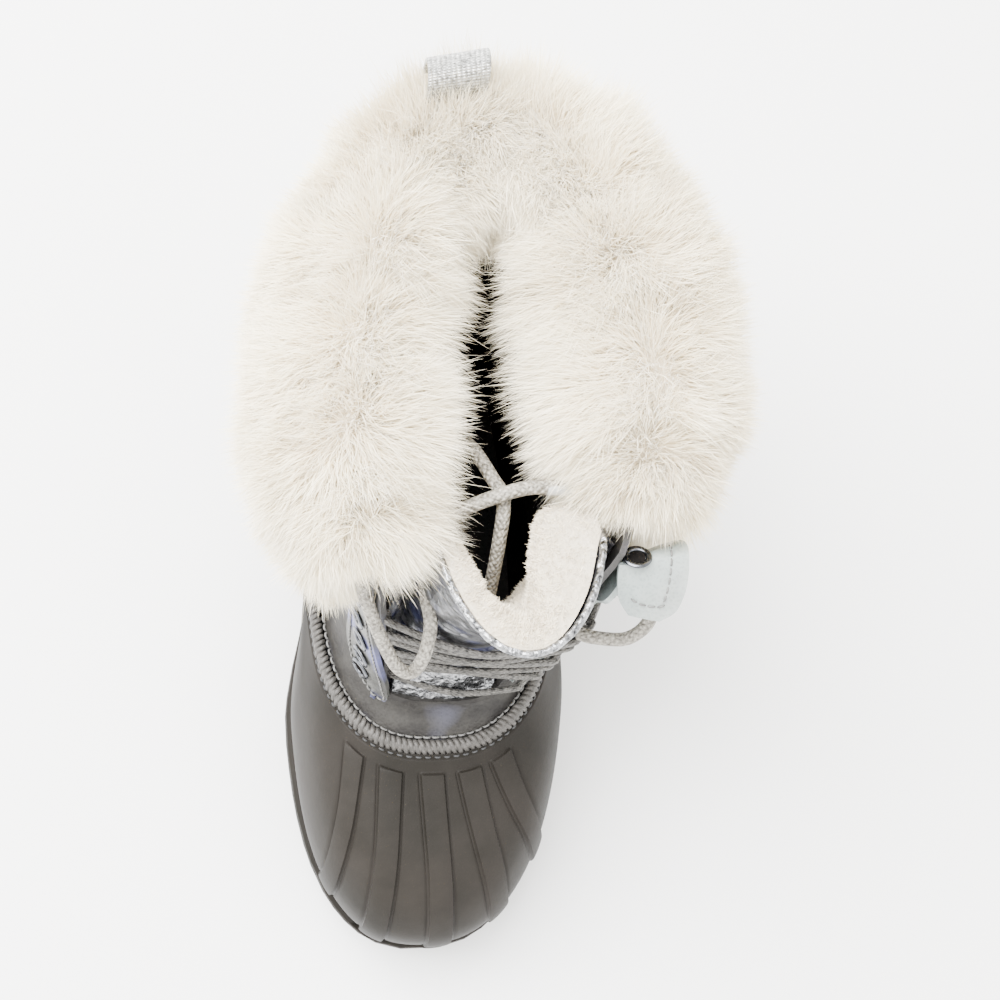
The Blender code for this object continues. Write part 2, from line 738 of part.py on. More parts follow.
def build_cuff():
    """The deep fur cuff: a thick roll over the collar, open in front, with fused locks."""
    angles = np.linspace(*CUFF_ENDS, CUFF_SECTIONS)
    sections = [cuff_section(index, angle) for index, angle in enumerate(angles)]
    rows = [
        [cuff_point(angle, out, rise) for out, rise in section]
        for angle, section in zip(angles, sections)
    ]
    flat = [Vector((out / MM, rise, 0.0)) for out, rise in sections[0]]
    mesh = loft_mesh("cuff", rows, caps=tessellate_polygon([flat]))
    return finish("cuff", (0.86, 0.83, 0.76), 0.95, 0.0, mesh)


def build_pull_loop():
    """The webbing loop that stands on the back of the cuff."""
    outer, inner = [], []
    for turn in np.linspace(-0.5, 0.5, 9):
        angle = math.pi * turn
        for rows, radius in ((outer, LOOP_RADIUS), (inner, LOOP_RADIUS - LOOP_WALL)):
            y = LOOP_PLACE[1] + radius * math.sin(angle)
            z = LOOP_PLACE[2] + (LOOP_RISE + radius) * math.cos(angle) ** 0.5 if abs(turn) < 0.5 else 0
            z = max(z, LOOP_PLACE[2])
            rows.append([Vector((LOOP_PLACE[0] + side * LOOP_WIDTH / 2, y, z)) for side in (-1, 1)])
    mesh = wall_mesh("pull_loop", outer, inner)
    return finish("pull_loop", (0.6, 0.61, 0.64), 0.4, 0.4, mesh)


# ---------------------------------------------------------------- lacing
def tongue_front(z):
    """The y of the tongue's outer face in the middle, at a height."""
    heights = [skin_point(180.0, 5.05).z, *(row.z * MM for row in TONGUE)]
    fronts = [skin_point(180.0, 5.05, -2.8 * MM).y, *(row.front_y * MM for row in TONGUE)]
    return float(np.interp(z, heights, fronts))


def lace_bar(level_from, level_to, side):
    """Points of one lace bar, from one overlay over the throat's edges to the other."""
    if level_to > level_from:
        level_from += LACE_APART / climb(180 - side * 50, level_from)
        level_to -= LACE_APART / climb(180 - side * 50, level_to)
    ends = []
    for level, way in ((level_from, side), (level_to, -side)):
        for inset, out in ((LACE_END, LACE_OUT), (-1.2 * MM, LACE_OUT - 0.3 * MM)):
            reach = throat(level) + inset / speed(180 - way * 50, level)
            ends.append(skin_point(180.0 - way * reach, level, out))
    middle = (ends[1] + ends[3]) / 2
    middle.y = tongue_front(middle.z) - LACE_RADIUS - GAP
    return through_points([ends[0], ends[1], middle, ends[3], ends[2]], 5.5 * MM)


def build_laces():
    """The straight bottom bar and the crossings above it, each a solid of its own."""
    bar = tube_mesh("lace_bar", lace_bar(EYELET_LEVELS[0], EYELET_LEVELS[0], 1), LACE_RADIUS, 2)
    finish("lace_bar", LACE_COLOUR, 0.6, 0.1, bar)
    for index, (low, high) in enumerate(zip(EYELET_LEVELS[1:], EYELET_LEVELS[2:])):
        name = f"lace_cross_{index}"
        bars = [
            tube_mesh(f"{name}_{side}", lace_bar(low, high, side), LACE_RADIUS, 2) for side in (1, -1)
        ]
        finish(name, LACE_COLOUR, 0.6, 0.1, joined(name, bars))


def build_cord(name, points, radius):
    """A loose cord through points in millimetres, as a round curve with filled ends."""
    curve = bpy.data.curves.new(name, "CURVE")
    curve.dimensions = "3D"
    curve.bevel_depth = radius
    curve.bevel_resolution = 2
    curve.use_fill_caps = True
    places = [tuple(v * MM for v in point) for point in points]
    path = [point + ORIGIN_SHIFT for point in through_points(places, 2.2 * 2 * radius)]
    spline = curve.splines.new("POLY")
    spline.points.add(len(path) - 1)
    for knot, point in zip(spline.points, path):
        knot.co = (*point, 1.0)
    obj = bpy.data.objects.new(name, curve)
    bpy.data.collections["duck_boot"].objects.link(obj)
    material = bpy.data.materials.new(name)
    material.use_nodes = True
    material.node_tree.nodes["Principled BSDF"].inputs["Base Color"].default_value = (*LACE_COLOUR, 1)
    curve.materials.append(material)
    return obj


def set_on_origin():
    """Moves every piece so that the middle of the boot's outline is over the origin."""
    meshes = [obj.data for obj in bpy.data.collections["duck_boot"].objects]
    corners = np.array([vert.co for mesh in meshes for vert in mesh.vertices])
    middle = (corners.min(axis=0) + corners.max(axis=0)) / 2
    shift = Vector((-middle[0], -middle[1], -corners.min(axis=0)[2]))
    for mesh in meshes:
        mesh.transform(Matrix.Translation(shift))
    ORIGIN_SHIFT.xyz = shift


def build():
    """Clears the scene and builds every piece of the boot."""
    for obj in list(bpy.data.objects):
        bpy.data.objects.remove(obj)
    for name in ("duck_boot", "cutters"):
        bpy.context.scene.collection.children.link(bpy.data.collections.new(name))
    build_outsole()
    build_shell()
    build_binding()
    build_upper()
    build_eyestay("eyestay_outer", 1)
    build_eyestay("eyestay_inner", -1)
    build_tongue()
    build_insole()
    build_cuff()
    build_pull_loop()
    for side, word in ((1, "outer"), (-1, "inner")):
        for index, level in enumerate(EYELET_LEVELS):
            build_eyelet(f"eyelet_{word}_{index}", side, level)
    build_laces()
    set_on_origin()
    for name, points in CORDS.items():
        build_cord(name, points, LACE_RADIUS)


build()
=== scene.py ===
"""Looks of a child's left duck boot: ribbed rubber shell, silver lace-up shaft, fur cuff.

Each part of the boot is a class: its fields are its sizes, and its methods make its meshes
and give them their finishes. Metres, +Z up, toe towards -Y, outer side towards +X.
"""

import logging
import math
from collections.abc import Callable, Sequence
from dataclasses import dataclass
from enum import Enum
from functools import partial

import bpy
import numpy as np
from mathutils import Matrix, Vector


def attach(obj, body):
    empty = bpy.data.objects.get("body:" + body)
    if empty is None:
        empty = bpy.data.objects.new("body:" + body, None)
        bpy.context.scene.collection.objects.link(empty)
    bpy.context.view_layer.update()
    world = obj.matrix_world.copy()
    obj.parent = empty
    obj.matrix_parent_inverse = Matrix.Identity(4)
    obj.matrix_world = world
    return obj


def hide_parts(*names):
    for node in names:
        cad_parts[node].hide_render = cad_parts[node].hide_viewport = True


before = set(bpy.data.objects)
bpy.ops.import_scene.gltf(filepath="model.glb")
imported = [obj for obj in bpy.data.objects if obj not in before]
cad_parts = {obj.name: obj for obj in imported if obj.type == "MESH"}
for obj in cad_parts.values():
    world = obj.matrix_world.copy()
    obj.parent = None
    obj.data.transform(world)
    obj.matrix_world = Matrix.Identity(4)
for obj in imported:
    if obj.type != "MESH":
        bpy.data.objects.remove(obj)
LOG = logging.getLogger("duck_boot")

MM = 0.001
ORIGIN = np.array((-4.288, -4.834, 0.0)) * MM
BODY = "root"
UP = np.array((0.0, 0.0, 1.0))

Array = np.ndarray
Place = Callable[[Array, Array], Array]
Triple = tuple[float, float, float]
Object = bpy.types.Object
Material = bpy.types.Material
Tree = bpy.types.NodeTree
Node = bpy.types.Node
Socket = bpy.types.NodeSocket


# --- the boot's form
def ease(value: Array) -> Array:
    """Rises evenly from 0 to 1 as the value does, and stays there outside."""
    value = np.clip(value, 0.0, 1.0)
    return value * value * (3 - 2 * value)


def rises(value: Array, start: float, over: float) -> Array:
    """Eases from 0 at the start to 1 as the value grows by a stretch."""
    return ease((value - start) / over)


def falls(value: Array, end: float, over: float) -> Array:
    """Eases from 1 to 0 at the end as the value grows by a stretch."""
    return ease((end - value) / over)


def unit(ways: Array) -> Array:
    """The same directions, each of length 1."""
    return ways / np.linalg.norm(ways, axis=-1, keepdims=True)


def curve(a: Array, b: Array, c: Array, d: Array, share: Array) -> Array:
    """A smooth curve from b to c that heads on from a and towards d.

    Args:
        a: the place before the stretch.
        b: where the stretch starts.
        c: where it ends.
        d: the place after it.
        share: how far along the stretch, from 0 to 1.

    Returns:
        Places on the curve.
    """
    return 0.5 * (
        2 * b
        + (c - a) * share
        + (2 * a - 5 * b + 4 * c - d) * share**2
        + (3 * b - a - 3 * c + d) * share**3
    )


def spline(rows: Array, at: Array, own: bool = False) -> Array:
    """Rows read at places between whole numbers, on a smooth curve through them.

    Args:
        rows: a table with one row of numbers for each whole place.
        at: the places.
        own: whether each place reads only its own column of the rows.

    Returns:
        One row of numbers for each place.
    """
    at = np.clip(np.asarray(at, float), 0.0, len(rows) - 1.0)
    index = np.minimum(at.astype(int), len(rows) - 2)
    share = (at - index)[..., None]
    ends = np.concatenate((2 * rows[:1] - rows[1:2], rows, 2 * rows[-1:] - rows[-2:-1]))
    column = (np.arange(len(at)),) if own else ()
    return curve(*(ends[(index + step, *column)] for step in range(4)), share)


class Skin:
    """The outer face of the silver upper, which the shell, overlays and cuff all follow.

    A place on it is an angle and a level: 0 degrees is the back of the heel, 90 the outer
    side and 180 the toe; the levels are the rows of RINGS. Each row holds, in millimetres,
    back y and z, front y and z, side z, the half widths at heel, waist, ball and toe, the
    toe's swing, the lean, and the squareness of the heel and of the toe. The rubber ends at
    TOPLINE and the throat opens from THROAT up to COLLAR, where its half is NARROW and WIDE
    degrees.
    """

    RINGS = np.array(
        (
            (99.5, 24.15, -100.2, 21.25, 17.45, 31.0, 32.5, 40.0, 41.3, -4.0, 1.0, 3.0, 2.4),
            (101.1, 34.0, -102.1, 29.5, 27.0, 32.5, 34.0, 41.2, 42.3, -4.0, 1.0, 3.0, 2.4),
            (100.5, 46.0, -99.0, 40.0, 37.0, 33.0, 34.5, 41.0, 41.6, -3.8, 1.0, 2.9, 2.35),
            (99.0, 58.0, -84.0, 51.0, 45.5, 32.5, 34.0, 39.5, 40.5, -3.0, 0.8, 2.8, 2.35),
            (97.0, 70.0, -48.5, 61.5, 52.5, 31.0, 33.0, 36.5, 38.0, -2.0, 0.0, 2.7, 2.6),
            (96.0, 84.0, -35.0, 72.5, 68.0, 30.5, 32.0, 33.0, 33.0, -1.0, 0.5, 2.6, 2.8),
            (95.0, 104.0, -33.0, 97.0, 95.0, 31.0, 32.0, 33.0, 32.0, 0.0, 1.5, 2.5, 3.2),
            (94.5, 135.0, -31.0, 129.0, 129.0, 33.0, 34.0, 35.0, 34.5, 0.0, 3.0, 2.5, 3.2),
            (95.0, 172.0, -27.0, 164.0, 167.0, 35.0, 36.0, 37.0, 36.5, 0.0, 5.0, 2.5, 3.0),
            (96.0, 202.0, -25.0, 194.0, 197.0, 35.0, 36.0, 37.0, 36.5, 0.0, 6.0, 2.5, 3.0),
        )
    )
    TOPLINE = 4.0
    THROAT = 5.0
    COLLAR = 8.0
    NARROW = 31.0
    WIDE = 52.0
    # Degrees from the front at which widths beside the throat are measured.
    FLANK = 50.0

    @staticmethod
    def on_ring(ring: Array, angle: Array) -> Array:
        """A point of a ring.

        Args:
            ring: numbers as in RINGS, with one row for each angle.
            angle: degrees round from the heel.

        Returns:
            Points in metres.
        """
        turn = np.radians(angle)
        cosine, sine = np.cos(turn), np.sin(turn)
        power = np.where(cosine > 0, ring[..., 11], ring[..., 12])
        radius = (np.abs(cosine) ** power + np.abs(sine) ** power) ** (-1 / power)
        along = (1 - radius * cosine) / 2
        heel, waist, ball, toe = (ring[..., index] for index in (5, 6, 7, 8))
        half = heel + (waist - heel) * ease((along - 0.14) / 0.28)
        half = half + (ball - waist) * ease((along - 0.42) / 0.26)
        half = half + (toe - ball) * ease((along - 0.68) / 0.24)
        x = ring[..., 10] + ring[..., 9] * along**3 + radius * sine * half
        y = ring[..., 0] + (ring[..., 2] - ring[..., 0]) * along
        z = ring[..., 4] + (ring[..., 1] - ring[..., 4]) * ease((0.5 - along) / 0.45)
        z = z + (ring[..., 3] - ring[..., 4]) * ease((along - 0.5) / 0.5)
        return np.stack((x, y, z), -1) * MM + ORIGIN

    @classmethod
    def base(cls, angle: Array, level: Array) -> Array:
        """Points of the skin itself."""
        return cls.on_ring(spline(cls.RINGS, level), angle)

    @classmethod
    def normal(cls, angle: Array, level: Array) -> Array:
        """The outward normals of the skin.

        Args:
            angle: degrees round from the heel.
            level: levels on the skin.

        Returns:
            Unit vectors.
        """
        top = len(cls.RINGS) - 1.0
        low, high = np.maximum(level - 0.05, 0.0), np.minimum(level + 0.05, top)
        upward = cls.base(angle, high) - cls.base(angle, low)
        around = cls.base(angle + 1.0, level) - cls.base(angle - 1.0, level)
        return unit(np.cross(upward, around))

    @classmethod
    def point(cls, angle: Array, level: Array, out: Array) -> Array:
        """Points some metres out from the skin."""
        return cls.base(angle, level) + cls.normal(angle, level) * np.asarray(out)[..., None]

    @classmethod
    def speed(cls, angle: Array, level: Array) -> Array:
        """Metres round the ring for each degree."""
        step = cls.base(angle + 1.0, level) - cls.base(angle - 1.0, level)
        return np.linalg.norm(step, axis=-1) / 2

    @classmethod
    def climb(cls, angle: Array, level: Array) -> Array:
        """Metres up the skin for each level."""
        step = cls.base(angle, level + 0.1) - cls.base(angle, level - 0.1)
        return np.linalg.norm(step, axis=-1) / 0.2

    @classmethod
    def throat(cls, level: Array) -> Array:
        """Degrees from the front to the edge of the throat."""
        share = (np.asarray(level, float) - cls.THROAT) / (cls.COLLAR - cls.THROAT)
        return cls.NARROW + (cls.WIDE - cls.NARROW) * np.clip(share, 0.0, 1.0)

    @classmethod
    def beside(cls, side: float, level: Array, out: Array) -> Array:
        """The angle of places some metres out from the throat's edge on one side."""
        degrees = out / cls.speed(180.0 - side * cls.FLANK, level)
        return 180.0 - side * (cls.throat(level) + degrees)


def waves(points: Array, size: float, seed: int, octaves: int) -> Array:
    """Smooth random heights over space, about -1 to 1, from sums of turned waves.

    Args:
        points: places in metres.
        size: the width of the largest bumps in metres.
        seed: which pattern.
        octaves: how many halvings of the size are added.

    Returns:
        One height for each place.
    """
    random = np.random.default_rng(seed)
    total = np.zeros(points.shape[:-1])
    for octave in range(octaves):
        for _ in range(5):
            way = random.normal(size=3)
            way *= 2 * math.pi / (size / 2**octave) / np.linalg.norm(way)
            bend = points @ (random.normal(size=3) * 1.7 / size)
            total += np.sin(points @ way + random.uniform(0, 6.28) + np.sin(bend)) / 2**octave
    return total / 4.0


# --- modelling by hand
def lone(obj: Object) -> None:
    """Selects one object alone and makes it active.

    Args:
        obj: the object.
    """
    bpy.ops.object.select_all(action="DESELECT")
    obj.select_set(True)
    bpy.context.view_layer.objects.active = obj


def read(items: bpy.types.bpy_prop_collection, key: str, width: int) -> Array:
    """Reads one property of all vertices, faces or corners of a mesh.

    Args:
        items: the vertices, faces or corners.
        key: the property.
        width: how many numbers it has.

    Returns:
        One row for each.
    """
    flat = np.empty(len(items) * width)
    items.foreach_get(key, flat)
    return flat.reshape(-1, width)


def modify(obj: Object, kind: str, **settings: object) -> Object:
    """Adds a modifier and applies it.

    Args:
        obj: the object to change.
        kind: the modifier's type, as Blender names it.
        **settings: its settings.

    Returns:
        The same object.
    """
    lone(obj)
    modifier = obj.modifiers.new(kind.lower(), kind)
    for key, value in settings.items():
        setattr(modifier, key, value)
    bpy.ops.object.modifier_apply(modifier=modifier.name)
    return obj


def thicken(obj: Object, wall: float, offset: float = -1.0) -> Object:
    """Gives a sheet its wall, inwards unless an offset says otherwise."""
    return modify(obj, "SOLIDIFY", thickness=wall, offset=offset)


def round_off(obj: Object, width: float, degrees: float) -> Object:
    """Bevels the edges that are sharper than an angle."""
    limit = math.radians(degrees)
    return modify(obj, "BEVEL", width=width, segments=2, limit_method="ANGLE", angle_limit=limit)


def weld(obj: Object, fill: bool = False) -> Object:
    """Merges doubled vertices, closes open ends if asked and turns the faces outwards.

    Args:
        obj: the object to change.
        fill: whether open ends are closed.

    Returns:
        The same object.
    """
    lone(obj)
    bpy.ops.object.mode_set(mode="EDIT")
    bpy.ops.mesh.select_all(action="SELECT")
    bpy.ops.mesh.remove_doubles(threshold=0.00001)
    if fill:
        bpy.ops.mesh.fill_holes(sides=0)
        bpy.ops.mesh.select_all(action="SELECT")
        bpy.ops.mesh.normals_make_consistent(inside=False)
    bpy.ops.object.mode_set(mode="OBJECT")
    return obj


def wrap(
    name: str,
    size: tuple[int, int],
    place: Place,
    lengths: tuple[float, float],
    keep: Place | None = None,
) -> Object:
    """A grid laid over a form: each corner goes where its share of the way says.

    Args:
        name: the object's name.
        size: how many faces it has across and up.
        place: gives points from shares across and up, from 0 to 1.
        lengths: the grid's real size in metres, which its UV map is given in.
        keep: tells which faces stay, from the shares at their middles.

    Returns:
        The new object, whose UV map is in metres.
    """
    bpy.ops.object.select_all(action="DESELECT")
    bpy.ops.mesh.primitive_grid_add(
        x_subdivisions=size[0], y_subdivisions=size[1], size=1.0, calc_uvs=True
    )
    obj = bpy.context.object
    obj.name = obj.data.name = name
    if keep is not None:
        middles = read(obj.data.polygons, "center", 3) + 0.5
        lost = ~keep(middles[:, 0], middles[:, 1])
        bpy.ops.object.mode_set(mode="EDIT")
        bpy.ops.mesh.select_all(action="DESELECT")
        bpy.ops.object.mode_set(mode="OBJECT")
        obj.data.polygons.foreach_set("select", lost)
        bpy.ops.object.mode_set(mode="EDIT")
        bpy.ops.mesh.select_mode(type="FACE")
        bpy.ops.mesh.delete(type="FACE")
        bpy.ops.mesh.select_mode(type="VERT")
        bpy.ops.object.mode_set(mode="OBJECT")
    shares = np.clip(read(obj.data.vertices, "co", 3) + 0.5, 0.0, 1.0)
    obj.data.vertices.foreach_set("co", place(shares[:, 0], shares[:, 1]).ravel())
    obj.data.update()
    layer = obj.data.uv_layers.active.data
    layer.foreach_set("uv", (read(layer, "uv", 2) * lengths).ravel())
    return obj


def smooth(obj: Object, degrees: float = 60.0) -> Object:
    """Shades an object smooth, but for edges sharper than an angle.

    Args:
        obj: the object to change.
        degrees: the angle.

    Returns:
        The same object.
    """
    lone(obj)
    bpy.ops.object.shade_smooth_by_angle(angle=math.radians(degrees))
    return obj


def reach_along(path: Array) -> Array:
    """How far along a path each of its points is, in metres."""
    return np.concatenate(([0.0], np.cumsum(np.linalg.norm(np.diff(path, axis=0), axis=1))))


def read_rows(rows: Array, places: Array, at: Array) -> Array:
    """Reads rows of three numbers, one for each rising place, at places between them."""
    return np.stack([np.interp(at, places, rows[:, axis]) for axis in range(3)], -1)


def even_path(points: Sequence[Sequence[float]], step: float) -> Array:
    """Evenly spaced points on a smooth curve through a few.

    Args:
        points: places in metres.
        step: about how far apart the new points are.

    Returns:
        The points.
    """
    rows = np.array(points, float)
    fine = spline(rows, np.linspace(0, len(rows) - 1, 40 * (len(rows) - 1) + 1))
    reach = reach_along(fine)
    even = np.linspace(0, reach[-1], max(3, round(reach[-1] / step) + 1))
    return read_rows(fine, reach, even)


def path_length(path: Array) -> float:
    """The length of a path in metres."""
    return float(np.linalg.norm(np.diff(path, axis=0), axis=1).sum())


def frames(path: Array) -> tuple[Array, Array]:
    """Two ways across a path that don't twist.

    Args:
        path: points in metres.

    Returns:
        Unit vectors across and across again, one for each point.
    """
    along = unit(np.gradient(path, axis=0))
    across = np.zeros_like(along)
    last = UP if abs(along[0, 2]) < 0.9 else np.array((1.0, 0.0, 0.0))
    for index, way in enumerate(along):
        last = last - way * (last @ way)
        last = last / np.linalg.norm(last)
        across[index] = last
    return across, np.cross(along, across)


def sweep(
    name: str,
    path: Array,
    ways: tuple[Array, Array],
    grid: tuple[int, int],
    girth: float,
    swell: Place | None = None,
) -> Object:
    """A closed cord along a path.

    Args:
        name: the object's name.
        path: points in metres.
        ways: two vectors across at each point, as long as the cord reaches that way.
        grid: how many faces it has along and round.
        girth: its length round in metres.
        swell: a factor of its thickness, from shares along and round.

    Returns:
        The new object; its UV map runs in metres along and round it.
    """
    number = np.arange(len(path))

    def place(u: Array, v: Array) -> Array:
        """Where the cord's face goes.

        Args:
            u: shares along it.
            v: shares of the way round.

        Returns:
            Points in metres.
        """
        at, turn = u * (len(path) - 1), 2 * np.pi * v
        side = read_rows(ways[0], number, at) * np.cos(turn)[:, None]
        top = read_rows(ways[1], number, at) * np.sin(turn)[:, None]
        grow = swell(u, v)[:, None] if swell else 1.0
        return read_rows(path, number, at) + (side + top) * grow

    obj = wrap(name, grid, place, (path_length(path), girth))
    return smooth(weld(obj, fill=True))


def tube(
    name: str, path: Array, radius: float, sides: int = 14, swell: Place | None = None
) -> Object:
    """A closed round cord along a path, swollen as in sweep."""
    ways = tuple(way * radius for way in frames(path))
    return sweep(name, path, ways, (len(path) - 1, sides), 2 * math.pi * radius, swell)


def many(name: str, piece: Object, middles: Array, axes: Array) -> Object:
    """One mesh of many copies of a piece, which is then removed.

    Args:
        name: the new object's name.
        piece: the piece to copy, at the origin.
        middles: where each copy goes.
        axes: for each copy, where its x, y and z axes point, as rows that may be scaled.

    Returns:
        The new object.
    """
    points = read(piece.data.vertices, "co", 3)
    sides = np.array([len(face.vertices) for face in piece.data.polygons])
    corners = np.array([vert for face in piece.data.polygons for vert in face.vertices])
    placed = middles[:, None, :] + points[None] @ axes
    count = len(middles)
    corners = corners[None] + np.arange(count)[:, None] * len(points)
    obj = from_arrays(name, placed.reshape(-1, 3), corners.ravel(), np.tile(sides, count))
    bpy.data.objects.remove(piece)
    return obj


def from_arrays(name: str, points: Array, corners: Array, sides: Array) -> Object:
    """An object from arrays.

    Args:
        name: the object's name.
        points: its vertices.
        corners: the vertex at each corner of each face, in order.
        sides: how many corners each face has.

    Returns:
        The new object, shaded smooth.
    """
    mesh = bpy.data.meshes.new(name)
    mesh.vertices.add(len(points))
    mesh.vertices.foreach_set("co", np.ascontiguousarray(points, float).ravel())
    mesh.loops.add(len(corners))
    mesh.loops.foreach_set("vertex_index", np.ascontiguousarray(corners, np.int32))
    mesh.polygons.add(len(sides))
    starts = np.concatenate(([0], np.cumsum(sides)[:-1]))
    mesh.polygons.foreach_set("loop_start", np.ascontiguousarray(starts, np.int32))
    mesh.polygons.foreach_set("use_smooth", np.ones(len(sides), bool))
    mesh.update(calc_edges=True)
    mesh.validate()
    obj = bpy.data.objects.new(name, mesh)
    bpy.context.scene.collection.objects.link(obj)
    return obj


# --- finishes
def fresh(name: str) -> tuple[Material, Tree, Node]:
    """A new material with its node tree and its shader.

    Args:
        name: the material's name.

    Returns:
        The material, the tree and the shader.
    """
    made = bpy.data.materials.new(name)
    made.use_nodes = True
    return made, made.node_tree, made.node_tree.nodes["Principled BSDF"]


def linear(colour: str) -> tuple[float, float, float, float]:
    """A hex sRGB colour as the linear values that shaders take."""
    parts = [int(colour[index : index + 2], 16) / 255 for index in (1, 3, 5)]
    return (*(c / 12.92 if c <= 0.04045 else ((c + 0.055) / 1.055) ** 2.4 for c in parts), 1.0)


def add(tree: Tree, kind: str, values: dict[str | int, object], **settings: object) -> Node:
    """Adds a node.

    Args:
        tree: the node tree.
        kind: the node's type, as Blender names it.
        values: for each input, by name or number, a value or another node's output.
        **settings: the node's own settings.

    Returns:
        The new node.
    """
    node = tree.nodes.new(kind)
    for key, value in settings.items():
        setattr(node, key, value)
    for key, value in values.items():
        if isinstance(value, Socket):
            tree.links.new(value, node.inputs[key])
        else:
            node.inputs[key].default_value = value
    return node


def ramp(tree: Tree, value: Socket, stops: dict[float, str]) -> Socket:
    """A colour ramp.

    Args:
        tree: the node tree.
        value: what is read, from 0 to 1.
        stops: a hex colour for each place.

    Returns:
        The colour output.
    """
    node = add(tree, "ShaderNodeValToRGB", {0: value})
    places = list(stops)
    while len(node.color_ramp.elements) < len(places):
        node.color_ramp.elements.new(0.5)
    for element, at in zip(node.color_ramp.elements, places):
        element.position = at
    for element, at in zip(node.color_ramp.elements, places):
        element.color = linear(stops[at])
    return node.outputs[0]


class Grain(Enum):
    """What a finish's fine relief is like."""

    MOULDED = "moulded"
    CRINKLED = "crinkled"
    CREASED = "creased"
    BRAIDED = "braided"
    WOVEN = "woven"
    NAPPED = "napped"
    PLAIN = "plain"


